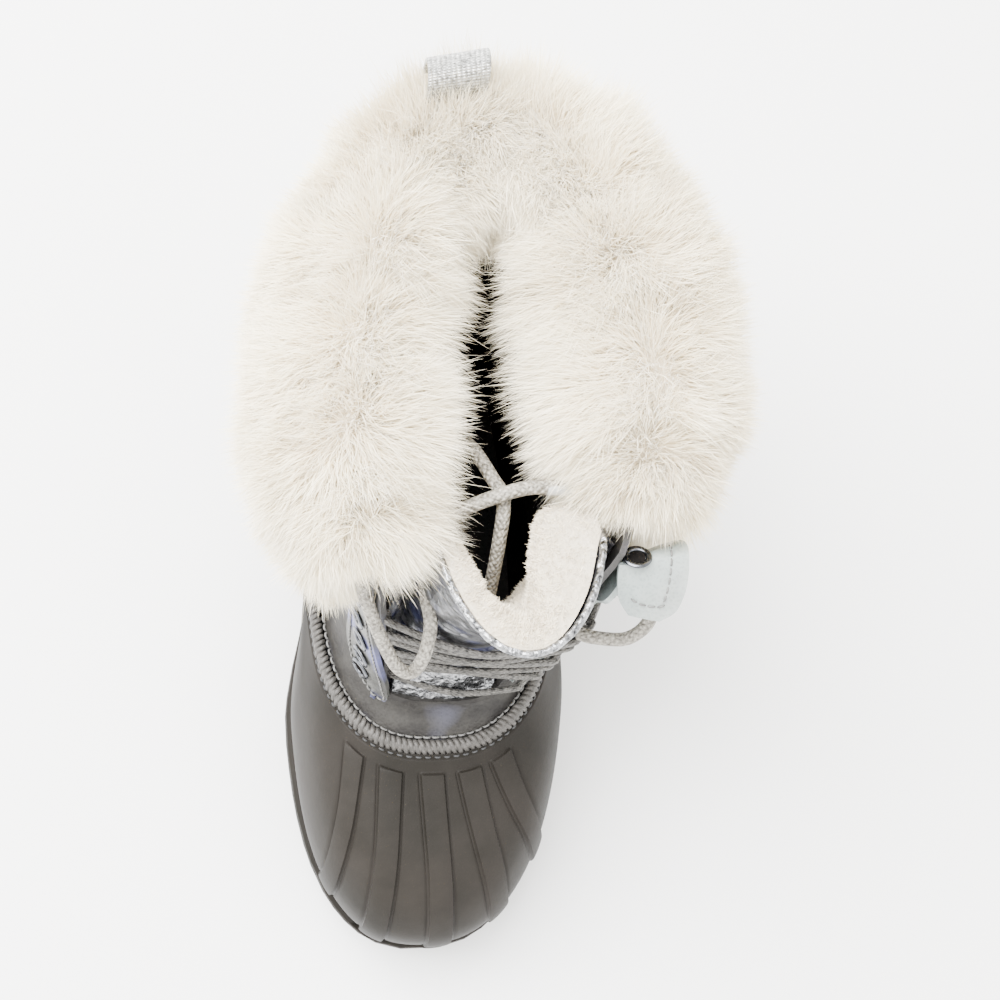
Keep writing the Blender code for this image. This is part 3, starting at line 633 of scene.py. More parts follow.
@dataclass(frozen=True)
class Finish:
    """A material: what it is made of, its colours and its relief.

    Args:
        name: the material's name.
        low: the hex colour of its darker patches.
        high: the hex colour of its lighter patches. Both are darkened in the relief's hollows as
            painted shade.
        roughness: from 0, polished, to 1, matt.
        metallic: 1 for a metal and less for a metallic coat.
        grain: the kind of relief.
        pitch: the relief's spacing in millimetres.
        depth: the relief's depth in millimetres.
        patch: the width of the colour patches in millimetres.
        tint: a third hex colour that shows in some patches, or none.
        sheen: the strength of the soft sheen of fibres.
        ior: the index of refraction.
        rough_swing: how far the roughness swings between patches.
    """

    name: str
    low: str
    high: str
    roughness: float
    metallic: float = 0.0
    grain: Grain = Grain.PLAIN
    pitch: float = 1.0
    depth: float = 0.1
    patch: float = 12.0
    tint: str = ""
    sheen: float = 0.0
    ior: float = 1.5
    rough_swing: float = 0.06

    def relief(self, tree: Tree, place: Node) -> Socket | None:
        """The height of the fine relief in millimetres, or none for a plain finish.

        Args:
            tree: the node tree.
            place: the texture coordinates.

        Returns:
            The height's output, or None.
        """
        space, scale = place.outputs["Object"], 1.0 / (self.pitch * MM)
        if self.grain is Grain.MOULDED:
            fine = add(tree, "ShaderNodeTexNoise", {"Vector": space, "Scale": scale, "Detail": 4.0})
            values = {"Vector": space, "Scale": scale / 14, "Detail": 2.0}
            wide = add(tree, "ShaderNodeTexNoise", values)
            values = {0: wide.outputs[0], 1: 3.0, 2: fine.outputs[0]}
            return add(tree, "ShaderNodeMath", values, operation="MULTIPLY_ADD").outputs[0]
        if self.grain in (Grain.CRINKLED, Grain.CREASED):
            return self.crinkled(tree, space, scale)
        if self.grain in (Grain.BRAIDED, Grain.WOVEN):
            return self.crossed(tree, place.outputs["UV"], scale)
        if self.grain is Grain.NAPPED:
            values = {"Vector": space, "Scale": scale, "Detail": 5.0, "Roughness": 0.65}
            return add(tree, "ShaderNodeTexNoise", values).outputs[0]
        return None

    def crinkled(self, tree: Tree, space: Socket, scale: float) -> Socket:
        """Bent cells with a fine grain on them: rounded when crinkled, sharp when creased.

        Args:
            tree: the node tree.
            space: places on the object.
            scale: the relief's cells in each metre.

        Returns:
            The height's output.
        """
        bend = add(tree, "ShaderNodeTexNoise", {"Vector": space, "Scale": scale / 3, "Detail": 3.0})
        reach = (self.pitch * 1.2 * MM,) * 3
        values = {0: bend.outputs[1], 1: reach}
        push = add(tree, "ShaderNodeVectorMath", values, operation="MULTIPLY")
        moved = add(tree, "ShaderNodeVectorMath", {0: space, 1: push.outputs[0]})
        values = {"Vector": moved.outputs[0], "Scale": scale}
        feature = "DISTANCE_TO_EDGE" if self.grain is Grain.CREASED else "SMOOTH_F1"
        cells = add(tree, "ShaderNodeTexVoronoi", values, feature=feature)
        fine = add(tree, "ShaderNodeTexNoise", {"Vector": space, "Scale": scale * 3, "Detail": 3.0})
        values = {0: fine.outputs[0], 1: 0.25, 2: cells.outputs[0]}
        return add(tree, "ShaderNodeMath", values, operation="MULTIPLY_ADD").outputs[0]

    def crossed(self, tree: Tree, flat: Socket, scale: float) -> Socket:
        """Strands that cross: square to the piece when woven, aslant when braided.

        Args:
            tree: the node tree.
            flat: places on the piece's own UV map.
            scale: the strands in each metre.

        Returns:
            The height's output.
        """
        turn = math.radians(45.0) if self.grain is Grain.BRAIDED else 0.0
        values = {"Vector": flat, "Rotation": (0.0, 0.0, turn), "Scale": (scale,) * 3}
        turned = add(tree, "ShaderNodeMapping", values)
        parts = add(tree, "ShaderNodeSeparateXYZ", {0: turned.outputs[0]})
        strands = []
        for axis in (0, 1):
            values = {0: parts.outputs[axis], 1: math.pi}
            phase = add(tree, "ShaderNodeMath", values, operation="MULTIPLY")
            wave = add(tree, "ShaderNodeMath", {0: phase.outputs[0]}, operation="SINE")
            strands.append(add(tree, "ShaderNodeMath", {0: wave.outputs[0]}, operation="ABSOLUTE"))
        values = {0: strands[0].outputs[0], 1: strands[1].outputs[0]}
        return add(tree, "ShaderNodeMath", values, operation="MULTIPLY").outputs[0]

    def material(self) -> Material:
        """The Blender material of this finish, made once.

        Returns:
            The material.
        """
        if self.name in bpy.data.materials:
            return bpy.data.materials[self.name]
        made, tree, shader = fresh(self.name)
        place = add(tree, "ShaderNodeTexCoord", {})
        space = place.outputs["Object"]
        scale = 1.0 / (self.patch * MM)
        values = {"Vector": space, "Scale": scale, "Detail": 4.0, "Roughness": 0.6}
        patches = add(tree, "ShaderNodeTexNoise", values)
        colour = ramp(tree, patches.outputs[0], {0.34: self.low, 0.66: self.high})
        height = self.relief(tree, place)
        if self.tint:
            values = {"Vector": space, "Scale": 0.62 / (self.patch * MM), "Detail": 1.0}
            other = add(tree, "ShaderNodeTexNoise", values)
            values = {0: other.outputs[0], 1: 0.52, 2: 0.68, 3: 0.0, 4: 0.75}
            share = add(tree, "ShaderNodeMapRange", values)
            values = {0: share.outputs[0], 6: colour, 7: linear(self.tint)}
            colour = add(tree, "ShaderNodeMix", values, data_type="RGBA").outputs[2]
        if height is not None:
            # Painted shade: the colour is darkened to 0.72 of itself in the relief's hollows.
            deep = add(tree, "ShaderNodeMapRange", {0: height, 1: 0.0, 2: 0.6, 3: 0.72, 4: 1.0})
            values = {0: 1.0, 6: colour, 7: deep.outputs[0]}
            dark = add(tree, "ShaderNodeMix", values, data_type="RGBA", blend_type="MULTIPLY")
            colour = dark.outputs[2]
            values = {"Strength": 1.0, "Distance": self.depth * MM, "Height": height}
            bump = add(tree, "ShaderNodeBump", values)
            tree.links.new(bump.outputs[0], shader.inputs["Normal"])
        tree.links.new(colour, shader.inputs["Base Color"])
        least, most = self.roughness - self.rough_swing, self.roughness + self.rough_swing
        rough = add(tree, "ShaderNodeMapRange", {0: patches.outputs[0], 3: least, 4: most})
        tree.links.new(rough.outputs[0], shader.inputs["Roughness"])
        shader.inputs["Metallic"].default_value = self.metallic
        shader.inputs["Sheen Weight"].default_value = self.sheen
        if self.metallic < 1.0:
            shader.inputs["IOR"].default_value = self.ior
        return made


@dataclass(frozen=True)
class PileFinish:
    """Fibres that take their colour from their own UV map: tint across, root to tip up.

    Args:
        name: the material's name.
        root: the hex colour at the roots.
        middle: the hex colour half way.
        tip: the hex colour at the tips.
        dark: the hex colour that the darkest fibres lean to.
    """

    name: str
    root: str
    middle: str
    tip: str
    dark: str

    def material(self) -> Material:
        """The Blender material of these fibres, made once.

        Returns:
            The material.
        """
        if self.name in bpy.data.materials:
            return bpy.data.materials[self.name]
        made, tree, shader = fresh(self.name)
        place = add(tree, "ShaderNodeUVMap", {}, uv_map="OFBake")
        parts = add(tree, "ShaderNodeSeparateXYZ", {0: place.outputs[0]})
        colour = ramp(tree, parts.outputs[1], {0.0: self.root, 0.45: self.middle, 1.0: self.tip})
        values = {0: parts.outputs[0], 1: 0.55, 2: 1.0, 3: 0.0, 4: 0.8}
        share = add(tree, "ShaderNodeMapRange", values)
        values = {0: share.outputs[0], 6: colour, 7: linear(self.dark)}
        mixed = add(tree, "ShaderNodeMix", values, data_type="RGBA")
        tree.links.new(mixed.outputs[2], shader.inputs["Base Color"])
        shader.inputs["Roughness"].default_value = 0.6
        shader.inputs["Sheen Weight"].default_value = 1.0
        return made


# Vulcanised rubber, moulded with a fine matt texture: an even warm grey with soft highlights.
RUBBER = Finish(
    "moulded_rubber", "#1b1916", "#25221f", 0.55, grain=Grain.MOULDED, pitch=0.5, depth=0.05,
    patch=30.0, ior=1.2,
)
SOLE_RUBBER = Finish(
    "sole_rubber", "#181613", "#201d1a", 0.6, grain=Grain.MOULDED, pitch=0.6, depth=0.06,
    patch=30.0, ior=1.2,
)
# Foil-coated suede: a grey silver with a soft shimmer and faint bluish patches.
SILVER = Finish(
    "silver_suede", "#272524", "#3c3a37", 0.46, metallic=0.4, grain=Grain.CRINKLED, pitch=0.9,
    depth=0.10, patch=9.0, tint="#4c4c58", rough_swing=0.1,
)
# The inner overlay's leather has an iridescent coat that turns violet in places.
SHOT_SILVER = Finish(
    "iridescent_leather", "#424240", "#62625f", 0.38, metallic=0.45, grain=Grain.CRINKLED,
    pitch=0.8, depth=0.07, patch=11.0, tint="#5b5f9c", rough_swing=0.08,
)
PALE_SILVER = Finish(
    "pale_silver_leather", "#8a908e", "#aeb4b0", 0.42, metallic=0.3, grain=Grain.CRINKLED,
    pitch=0.8, depth=0.05, patch=16.0, tint="#9ba8a6", rough_swing=0.08,
)
# Crinkled foil: bright, broken reflections.
FOIL = Finish(
    "crinkled_foil", "#2e2f31", "#b9babd", 0.24, metallic=0.9, grain=Grain.CRINKLED, pitch=1.3,
    depth=0.6, patch=1.6, rough_swing=0.1,
)
BELLOWS = Finish(
    "bellows_silver", "#37373a", "#85868a", 0.3, metallic=0.7, grain=Grain.CREASED, pitch=4.5,
    depth=0.7, patch=5.0, tint="#454a78",
)
THREAD = Finish("silver_thread", "#5c5b59", "#7b7a78", 0.55, metallic=0.2, patch=1.5)
DARK_THREAD = Finish("dark_thread", "#2a2a2b", "#3c3c3d", 0.7, patch=1.5)
ROPE = Finish(
    "whipped_cord", "#3e3c39", "#565350", 0.55, metallic=0.3, grain=Grain.CRINKLED, pitch=0.7,
    depth=0.1, patch=1.6,
)
NICKEL = Finish("dark_nickel", "#484a4e", "#66686d", 0.26, metallic=1.0, patch=2.0)
LACE = Finish(
    "speckled_cord", "#5d5850", "#b3aea2", 0.6, metallic=0.12, grain=Grain.BRAIDED, pitch=1.5,
    depth=0.35, patch=1.1,
)
# The bars lie in the shade of the tongue's rim: this darker, greyer copy of the lace's braid is
# painted shade.
SHADED_LACE = Finish(
    "painted_shade_cord", "#302f2d", "#74716c", 0.6, metallic=0.2, grain=Grain.BRAIDED, pitch=1.5,
    depth=0.35, patch=1.1,
)
AGLET = Finish("clear_tip", "#a3a4a2", "#c3c4c1", 0.2, patch=3.0)
WEBBING = Finish(
    "silver_webbing", "#777774", "#dcdcd9", 0.34, metallic=0.5, grain=Grain.WOVEN, pitch=1.2,
    depth=0.3, patch=0.9,
)
FLEECE = Finish(
    "fleece_backing", "#cfc2aa", "#e4d8c2", 0.95, grain=Grain.NAPPED, pitch=1.6, depth=1.4,
    patch=5.0, sheen=0.4,
)
LINING = Finish(
    "shaft_lining", "#0e0d0c", "#191716", 0.95, grain=Grain.NAPPED, pitch=1.4, depth=0.8, patch=8.0,
    ior=1.05,
)
FELT = Finish(
    "insole_felt", "#0f0e0d", "#191715", 0.95, grain=Grain.NAPPED, pitch=0.9, depth=0.4, patch=8.0
)
HIDE = Finish(
    "fur_backing", "#e9dcc3", "#f6ebd4", 0.95, grain=Grain.NAPPED, pitch=2.0, depth=1.0, patch=6.0
)
FUR = PileFinish("long_pile", "#f1e4c6", "#f9edcf", "#fef6e0", "#e2d3b2")
BOA = PileFinish("fleece_pile", "#d6c8ab", "#e2d5bb", "#ece0c8", "#c4b598")
FLOOR = Finish("pale_floor", "#f4f4f4", "#f6f6f6", 0.9, patch=400.0)


def dress(
    obj: Object,
    finish: Finish | PileFinish,
    replaces: Sequence[str] = (),
) -> Object:
    """Gives a piece its material, sets it on the boot and hides the CAD nodes that it stands for.

    Args:
        obj: the piece.
        finish: its finish.
        replaces: CAD nodes that it stands for.

    Returns:
        The same piece.
    """
    obj.data.materials.clear()
    obj.data.materials.append(finish.material())
    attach(obj, BODY)
    if replaces:
        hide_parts(*replaces)
    LOG.info("%s: %d faces, %s", obj.name, len(obj.data.polygons), finish.name)
    return obj


# --- studio
@dataclass
class Studio:
    """The floor, the lights and the camera that looks down on the boot's toe and collar."""

    place: Triple = (-0.07329, -0.10483, 0.600)
    aim: Triple = (0.16361, 0.23530, -0.97190)
    up: Triple = (0.0, 0.97030, 0.24192)
    lens: float = 63.8
    lit: Triple = (0.0, 0.0, 0.08)
    surround: float = 3.4

    LAMPS = (("key", (-0.55, 0.35, 1.25), 1.1, 114.0), ("fill", (0.8, -0.5, 1.0), 1.2, 5.0))

    def build(self) -> None:
        """Sets up the camera, the floor and the lights."""
        self.set_camera()
        self.lay_floor()
        self.light()

    def set_camera(self) -> None:
        """Puts the camera in place with its top towards the heel."""
        data = bpy.data.cameras.new("camera")
        data.lens = self.lens
        data.clip_start = 0.01
        camera = bpy.data.objects.new("camera", data)
        bpy.context.scene.collection.objects.link(camera)
        back = -Vector(self.aim).normalized()
        right = Vector(self.up).cross(back).normalized()
        turn = Matrix((right, back.cross(right), back)).transposed()
        camera.matrix_world = Matrix.Translation(self.place) @ turn.to_4x4()
        bpy.context.scene.camera = camera

    def lay_floor(self) -> None:
        """Lays the pale floor."""
        bpy.ops.object.select_all(action="DESELECT")
        bpy.ops.mesh.primitive_plane_add(size=6.0, location=(0.0, 0.0, -0.0002))
        floor = bpy.context.object
        floor.name = "floor"
        floor.data.materials.append(FLOOR.material())

    def light(self) -> None:
        """Hangs two large soft lights and sets a pale, even surround."""
        for name, place, size, power in self.LAMPS:
            data = bpy.data.lights.new(name, "AREA")
            data.shape = "SQUARE"
            data.size = size
            data.energy = power
            lamp = bpy.data.objects.new(name, data)
            lamp.location = place
            way = Vector(self.lit) - Vector(place)
            lamp.rotation_euler = way.to_track_quat("-Z", "Y").to_euler()
            bpy.context.scene.collection.objects.link(lamp)
        world = bpy.context.scene.world or bpy.data.worlds.new("surround")
        bpy.context.scene.world = world
        world.use_nodes = True
        surround = world.node_tree.nodes["Background"]
        surround.inputs["Color"].default_value = linear("#fbfaf7")
        surround.inputs["Strength"].default_value = self.surround


# --- lacing
# Levels of the five rings on each side, and their middles' way in from the throat's edge.
RING_LEVELS = (5.25, 5.7, 6.15, 6.6, 7.0)
RING_INSET = 8.5 * MM
SIDES = ((1.0, "outer"), (-1.0, "inner"))


@dataclass
class Lacing:
    """One round braided lace: a straight bar, crossings, a bow loop and the free ends.

    Between two rings it leaves the first at `high` over the skin, turns the overlay's edge at
    `end` and bows over the tongue. Crossings lie `apart`, and the braid is `pressed` flat.
    """

    radius: float = 1.9 * MM
    step: float = 0.8 * MM
    high: float = 4.6 * MM
    end: float = 2.4 * MM
    apart: float = 2.2 * MM
    pressed: float = 0.55
    sunk: float = 2.1 * MM

    LOOSE = {
        "lace_loop_inner": (
            (-30.9, -12.0, 152.3), (-28.2, -17.9, 143.5), (-23.8, -24.9, 132.0),
            (-19.0, -31.2, 124.0), (-14.6, -32.4, 122.0), (-11.9, -28.6, 128.5),
            (-10.6, -21.3, 133.0), (-12.0, -14.5, 136.4), (-12.2, -10.0, 137.4),
        ),
        "lace_tail_inner": (
            (-9.6, 1.8, 161.2), (-6.0, 3.0, 163.0), (2.0, 5.5, 166.5),
            (12.0, 8.0, 167.5), (25.0, 8.1, 166.0),
        ),
        "lace_tail_outer": (
            (-1.0, 24.0, 150.0), (0.0, 19.0, 158.0), (3.0, 12.0, 161.5),
            (5.5, 5.8, 162.8), (5.0, -4.0, 156.0), (4.0, -16.4, 140.0),
        ),
        "lace_loop_outer": (
            (30.6, -23.6, 129.6), (34.0, -25.0, 131.0), (42.5, -26.0, 133.5),
            (47.5, -23.0, 138.5), (48.0, -18.5, 144.5), (45.0, -15.5, 151.9),
        ),
    }

    def build(self) -> None:
        """Makes the free cords first and then the lacing that crosses the tongue."""
        for name, points in self.LOOSE.items():
            self.build_loose(name, np.array(points) * MM + ORIGIN)
        self.build_bars()

    def build_loose(self, name: str, points: Array) -> None:
        """A free stretch of lace, made as a round tube.

        Args:
            name: the CAD node that it stands for.
            points: places along it in metres.
        """
        path = even_path(points, self.step)
        piece = tube(name + "_braid", path, self.radius)
        dress(piece, LACE, (name,))
        route = path[:: max(1, len(path) // 30)]
        if not np.allclose(route[-1], path[-1]):
            route = np.vstack([route, path[-1:]])
        tips = [self.build_tip()] if name == "lace_tail_inner" else []

    def across(self, low: float, high: float, side: float) -> Array:
        """The way of one bar over the tongue, sunk into an eyelet at each end.

        Args:
            low: the level of its first eyelet.
            high: the level of its last eyelet.
            side: 1 when it starts on the outer side and -1 on the inner.

        Returns:
            Points in metres.
        """
        apart = self.apart if high > low else 0.0
        ends = []
        for at, way, shift in ((low, side, apart), (high, -side, -apart)):
            beside = 180.0 - way * Skin.FLANK
            speed = Skin.speed(beside, at)
            moved = at + shift / Skin.climb(beside, at)
            if way > 0:
                steps = (
                    (at, RING_INSET, self.sunk),
                    (at, RING_INSET - 0.3 * MM, self.high - 1.0 * MM),
                    (moved, self.end + 1.4 * MM, self.high - 0.6 * MM),
                    (moved, self.end - 1.2 * MM, self.high - 0.8 * MM),
                    (moved, -1.2 * MM, self.high - 1.1 * MM),
                )
            else:
                steps = (
                    (moved, 4.0 * MM, -3.8 * MM),
                    (moved, 0.5 * MM, -3.8 * MM),
                    (moved, -4.0 * MM, -3.6 * MM),
                )
            levels, insets, outs = np.array(steps).T
            turns = 180.0 - way * (Skin.throat(levels) + insets / speed)
            ends.append([*Skin.point(turns, levels, outs)])
        middle = (ends[0][-1] + ends[1][-1]) / 2
        middle[1] = Tongue.front(middle[2]) - self.radius - 0.3 * MM
        return np.array([*ends[0], middle, *reversed(ends[1])])

    def build_bars(self) -> None:
        """The straight bar at the bottom and the crossings above it."""
        # The bars take the darker copy of the lace, painted shade from the tongue's rim.
        bar = self.flat("lace_bar_braid", self.across(RING_LEVELS[0], RING_LEVELS[0], 1.0))
        dress(bar, SHADED_LACE, ("lace_bar",))
        for index, (low, high) in enumerate(zip(RING_LEVELS[1:], RING_LEVELS[2:])):
            node = f"lace_cross_{index}"
            for side, word in SIDES:
                piece = self.flat(f"{node}_{word}", self.across(low, high, side))
                dress(piece, SHADED_LACE, (node,) if side > 0 else ())

    def flat(self, name: str, points: Array) -> Object:
        """A stretch of lace drawn tight, so that the braid lies flattened on what is under it.

        Args:
            name: the object's name.
            points: places along it in metres.

        Returns:
            The new object.
        """
        path = even_path(points, self.step)
        along = unit(np.gradient(path, axis=0))
        level = np.array((1.0, 1.0, 0.0))
        away = (path - ORIGIN - np.array((0.0, 12.0 * MM, 0.0))) * level
        away = unit(away - along * (away * along).sum(axis=1, keepdims=True))
        ways = (np.cross(along, away) * self.radius, away * self.radius * self.pressed)
        return sweep(name, path, ways, (len(path), 12), 0.012)

    def build_tip(self) -> Object:
        """The hard tip on the free end.

        Returns:
            The tip.
        """
        end = np.array(self.LOOSE["lace_tail_inner"][-2:]) * MM + ORIGIN
        way = unit(end[1] - end[0])
        path = np.linspace(end[1] - way * 9.0 * MM, end[1] + way * 0.5 * MM, 12)
        tip = tube("lace_tip", path, self.radius * 1.06)
        return dress(tip, AGLET)


# --- rubber shell
@dataclass
class Shell:
    """The moulded rubber shell: smooth at the heel, with five raised ribs over the toe.

    A rib is `half` wide on each side of its middle and `rise` high, with a `flank` and then a
    `groove` beside it, and stops short of the rim by `stop`. RIBS holds each rib's degrees from
    the front at the rim and at the foot, and HEIGHTS the level at shares of the way up.
    """

    gap: float = 0.6 * MM
    wall: float = 2.8 * MM
    lip: float = 1.2 * MM
    rise: float = 1.0 * MM
    half: float = 3.2 * MM
    flank: float = 0.5 * MM
    groove: float = 0.8 * MM
    stop: float = 5.0 * MM

    RIBS = ((27.4, 45.5), (14.6, 28.0), (-1.2, 5.1), (-18.6, -19.8), (-33.4, -38.8))
    HEIGHTS = ((0.0, 0.0), (0.60, 3.78), (0.80, 3.90), (0.88, 3.95), (1.0, Skin.TOPLINE))
    HEEL = 100
    RIB = (3, 3, 8, 3, 3)

    def knots(self, level: Array) -> Array:
        """Angles of the ribs' edges at each level, from the heel all the way round.

        Args:
            level: levels on the skin.

        Returns:
            One row of rising angles for each level.
        """
        front = spline(Skin.RINGS, level)[:, 2]
        share = np.where(level > 1, np.clip((front + 102.1) / 50.6, 0.0, 1.0), 0.0)
        columns = [np.zeros_like(level)]
        for top, bottom in self.RIBS:
            centre = 180.0 - (bottom + (top - bottom) * share)
            degrees = 1.0 / Skin.speed(centre, level)
            reach = (self.half + self.flank + self.groove, self.half + self.flank, self.half)
            columns += [centre - width * degrees for width in reach]
            columns += [centre + width * degrees for width in reversed(reach)]
        columns.append(np.full_like(level, 360.0))
        return np.stack(columns, -1)

    def place(self, u: Array, v: Array) -> Array:
        """Where the outer face goes.

        Args:
            u: shares of the way round.
            v: shares of the way up.

        Returns:
            Points in metres.
        """
        level = np.interp(v, *np.array(self.HEIGHTS).T)
        knots = self.knots(level)
        counts = [self.HEEL, *([*self.RIB, 10] * 4), *self.RIB, self.HEEL]
        starts = np.concatenate(([0.0], np.cumsum(counts))) / sum(counts)
        turn = 1.0 - u
        index = np.clip(np.searchsorted(starts, turn, side="right") - 1, 0, len(counts) - 1)
        share = (turn - starts[index]) * sum(counts) / np.array(counts)[index]
        rows = np.arange(len(level))
        angle = knots[rows, index] * (1 - share) + knots[rows, index + 1] * share
        part = (index - 1) % 6
        ribbed = (index > 0) & (index < len(counts) - 1)
        raised = np.select(
            [part == 1, part == 2, part == 3],
            [ease(share), 1.0 + 0.12 * np.sin(np.pi * share), 1.0 - ease(share)],
            0.0,
        )
        sunk = np.where((part == 0) | (part == 4), np.sin(np.pi * share), 0.0)
        top = Skin.TOPLINE - self.stop / Skin.climb(angle, Skin.TOPLINE)
        below = falls(level, top, 0.014)
        form = np.where(ribbed, (raised * self.rise - sunk * 0.28 * MM) * below, 0.0)
        thin = self.lip * rises(level, 3.925, 0.07)
        points = Skin.point(angle, level, self.gap + self.wall + form - thin)
        floor = Skin.base(angle, 0.0)[:, 2]
        points[:, 2] = np.where(level < 0.001, floor, points[:, 2])
        return points

    def build(self) -> None:
        """Makes the shell with its wall thickness."""
        piece = wrap("shell_rubber", (306, 52), self.place, (0.52, 0.06))
        thicken(weld(piece), self.wall)
        dress(smooth(piece, 50.0), RUBBER, ("shell",))


@dataclass
class Sole:
    """The outsole, with its moulded edges rounded."""

    bevel: float = 0.35 * MM

    def build(self) -> None:
        """Rounds the edges of a copy of the CAD sole."""
        source = bpy.data.objects["outsole"]
        piece = bpy.data.objects.new("outsole_rubber", source.data.copy())
        bpy.context.scene.collection.objects.link(piece)
        round_off(weld(piece), self.bevel, 32.0)
        dress(smooth(piece, 35.0), SOLE_RUBBER, ("outsole",))


# --- sewing
def stations(path: Array, normals: Array, at: Array) -> tuple[Array, Array, Array]:
    """Places along a path that runs over a face.

    Args:
        path: points along it in metres.
        normals: the face's normal at each.
        at: how far along each place is, in metres.

    Returns:
        The places, and unit vectors along the path and out of the face.
    """
    reach = reach_along(path)
    middles = read_rows(path, reach, at)
    way = unit(read_rows(path, reach, at + 0.4 * MM) - middles)
    upward = read_rows(normals, reach, at)
    return middles, way, unit(upward - way * (upward * way).sum(1, keepdims=True))


@dataclass
class Seam:
    """A row of stitches along a path on a face.

    Args:
        stitch: the length of one stitch.
        pitch: from one stitch to the next.
        thick: the thread's radius.
    """

    stitch: float = 2.3 * MM
    pitch: float = 3.0 * MM
    thick: float = 0.32 * MM

    def thread(self) -> Object:
        """One stitch: a thread that rises out of the face and dips back in.

        Returns:
            The stitch at the origin, along x.
        """
        share = np.linspace(-1.0, 1.0, 7)
        height = self.thick * (0.9 - 1.7 * share**4)
        path = np.stack((share * self.stitch / 2, np.zeros(7), height), -1)
        return tube("stitch", path, self.thick, 5)

    def sew(
        self, name: str, line: tuple[Array, Array], slot: str, finish: Finish = THREAD
    ) -> None:
        """Makes the whole row.

        Args:
            name: the object's name.
            line: points along the seam in metres, and the face's normal at each.
            slot: not used.
            finish: the thread's finish.
        """
        path, normals = line
        at = np.arange(self.pitch / 2, reach_along(path)[-1] - self.pitch / 3, self.pitch)
        middles, way, upward = stations(path, normals, at)
        axes = np.stack((way, np.cross(upward, way), upward), 1)
        dress(many(name, self.thread(), middles, axes), finish)


@dataclass
class Binding:
    """The whipped edge that joins the rubber to the silver upper, and the row inside it."""

    rise: float = 2.3 * MM
    radius: float = 1.75 * MM
    start: float = 1.45 * MM
    pitch: float = 1.798 * MM
    strand: float = 0.85 * MM
    inner: float = 5.4 * MM

    def line(self, up: float, out: float) -> tuple[Array, Array]:
        """A line round the boot above the rubber's edge.

        Args:
            up: metres above the edge.
            out: metres out from the skin.

        Returns:
            The points and the skin's normals.
        """
        angle = np.linspace(360.0, 0.0, 900)
        level = Skin.TOPLINE + up / Skin.climb(angle, Skin.TOPLINE)
        return Skin.point(angle, level, out), Skin.normal(angle, level)

    def build(self) -> None:
        """Makes the core, the whipping over it and the second row of stitches."""
        path, normals = self.line(self.rise, 1.9 * MM)
        core = tube("binding_core", path, self.radius * 0.86, 10)
        dress(core, ROPE, ("shell_binding",))
        self.whip(path, normals)
        seam = Seam(2.1 * MM, 2.7 * MM, 0.4 * MM)
        seam.sew("vamp_stitches", self.line(self.inner, 0.0), "shell_binding")
        seam, line = Seam(1.6 * MM, 2.9 * MM, 0.35 * MM), self.line(-0.9 * MM, 2.55 * MM)
        seam.sew("rubber_edge_stitches", line, "shell_binding", DARK_THREAD)

    def whip(self, path: Array, normals: Array) -> None:
        """Lays the slanting strands over the core.

        Args:
            path: points along the core.
            normals: the skin's normal at each.
        """
        turn = np.linspace(math.radians(-80.0), math.radians(200.0), 10)
        reach = self.radius - 0.1 * MM
        slant = np.linspace(-0.5, 0.5, 10) * 2.6 * MM
        arc = np.stack((slant, np.cos(turn) * reach, np.sin(turn) * reach), -1)
        strand = tube("strand", arc, self.strand, 6)
        at = np.arange(self.start, reach_along(path)[-1], self.pitch)
        middles, way, upward = stations(path, normals, at)
        random = np.random.default_rng(11)
        size = 1.0 + random.normal(0.0, 0.05, (len(at), 1))
        axes = np.stack((way, np.cross(upward, way) * size, upward * size * 0.7), 1)
        piece = many("binding_whipping", strand, middles, axes)
        dress(piece, ROPE)


# --- silver upper
def outward(at: Place, across: Array, up: Array, start: float) -> Array:
    """Unit normals of a face.

    Args:
        at: gives the face's points from places across and up.
        across: places across, up to 1.
        up: places up, from 0 to 1.
        start: the least place across.

    Returns:
        Unit vectors.
    """
    step = 0.01
    over = at(np.minimum(across + step, 1.0), up) - at(np.maximum(across - step, start), up)
    rise = at(across, np.minimum(up + step, 1.0)) - at(across, np.maximum(up - step, 0.0))
    return unit(np.cross(over, rise))


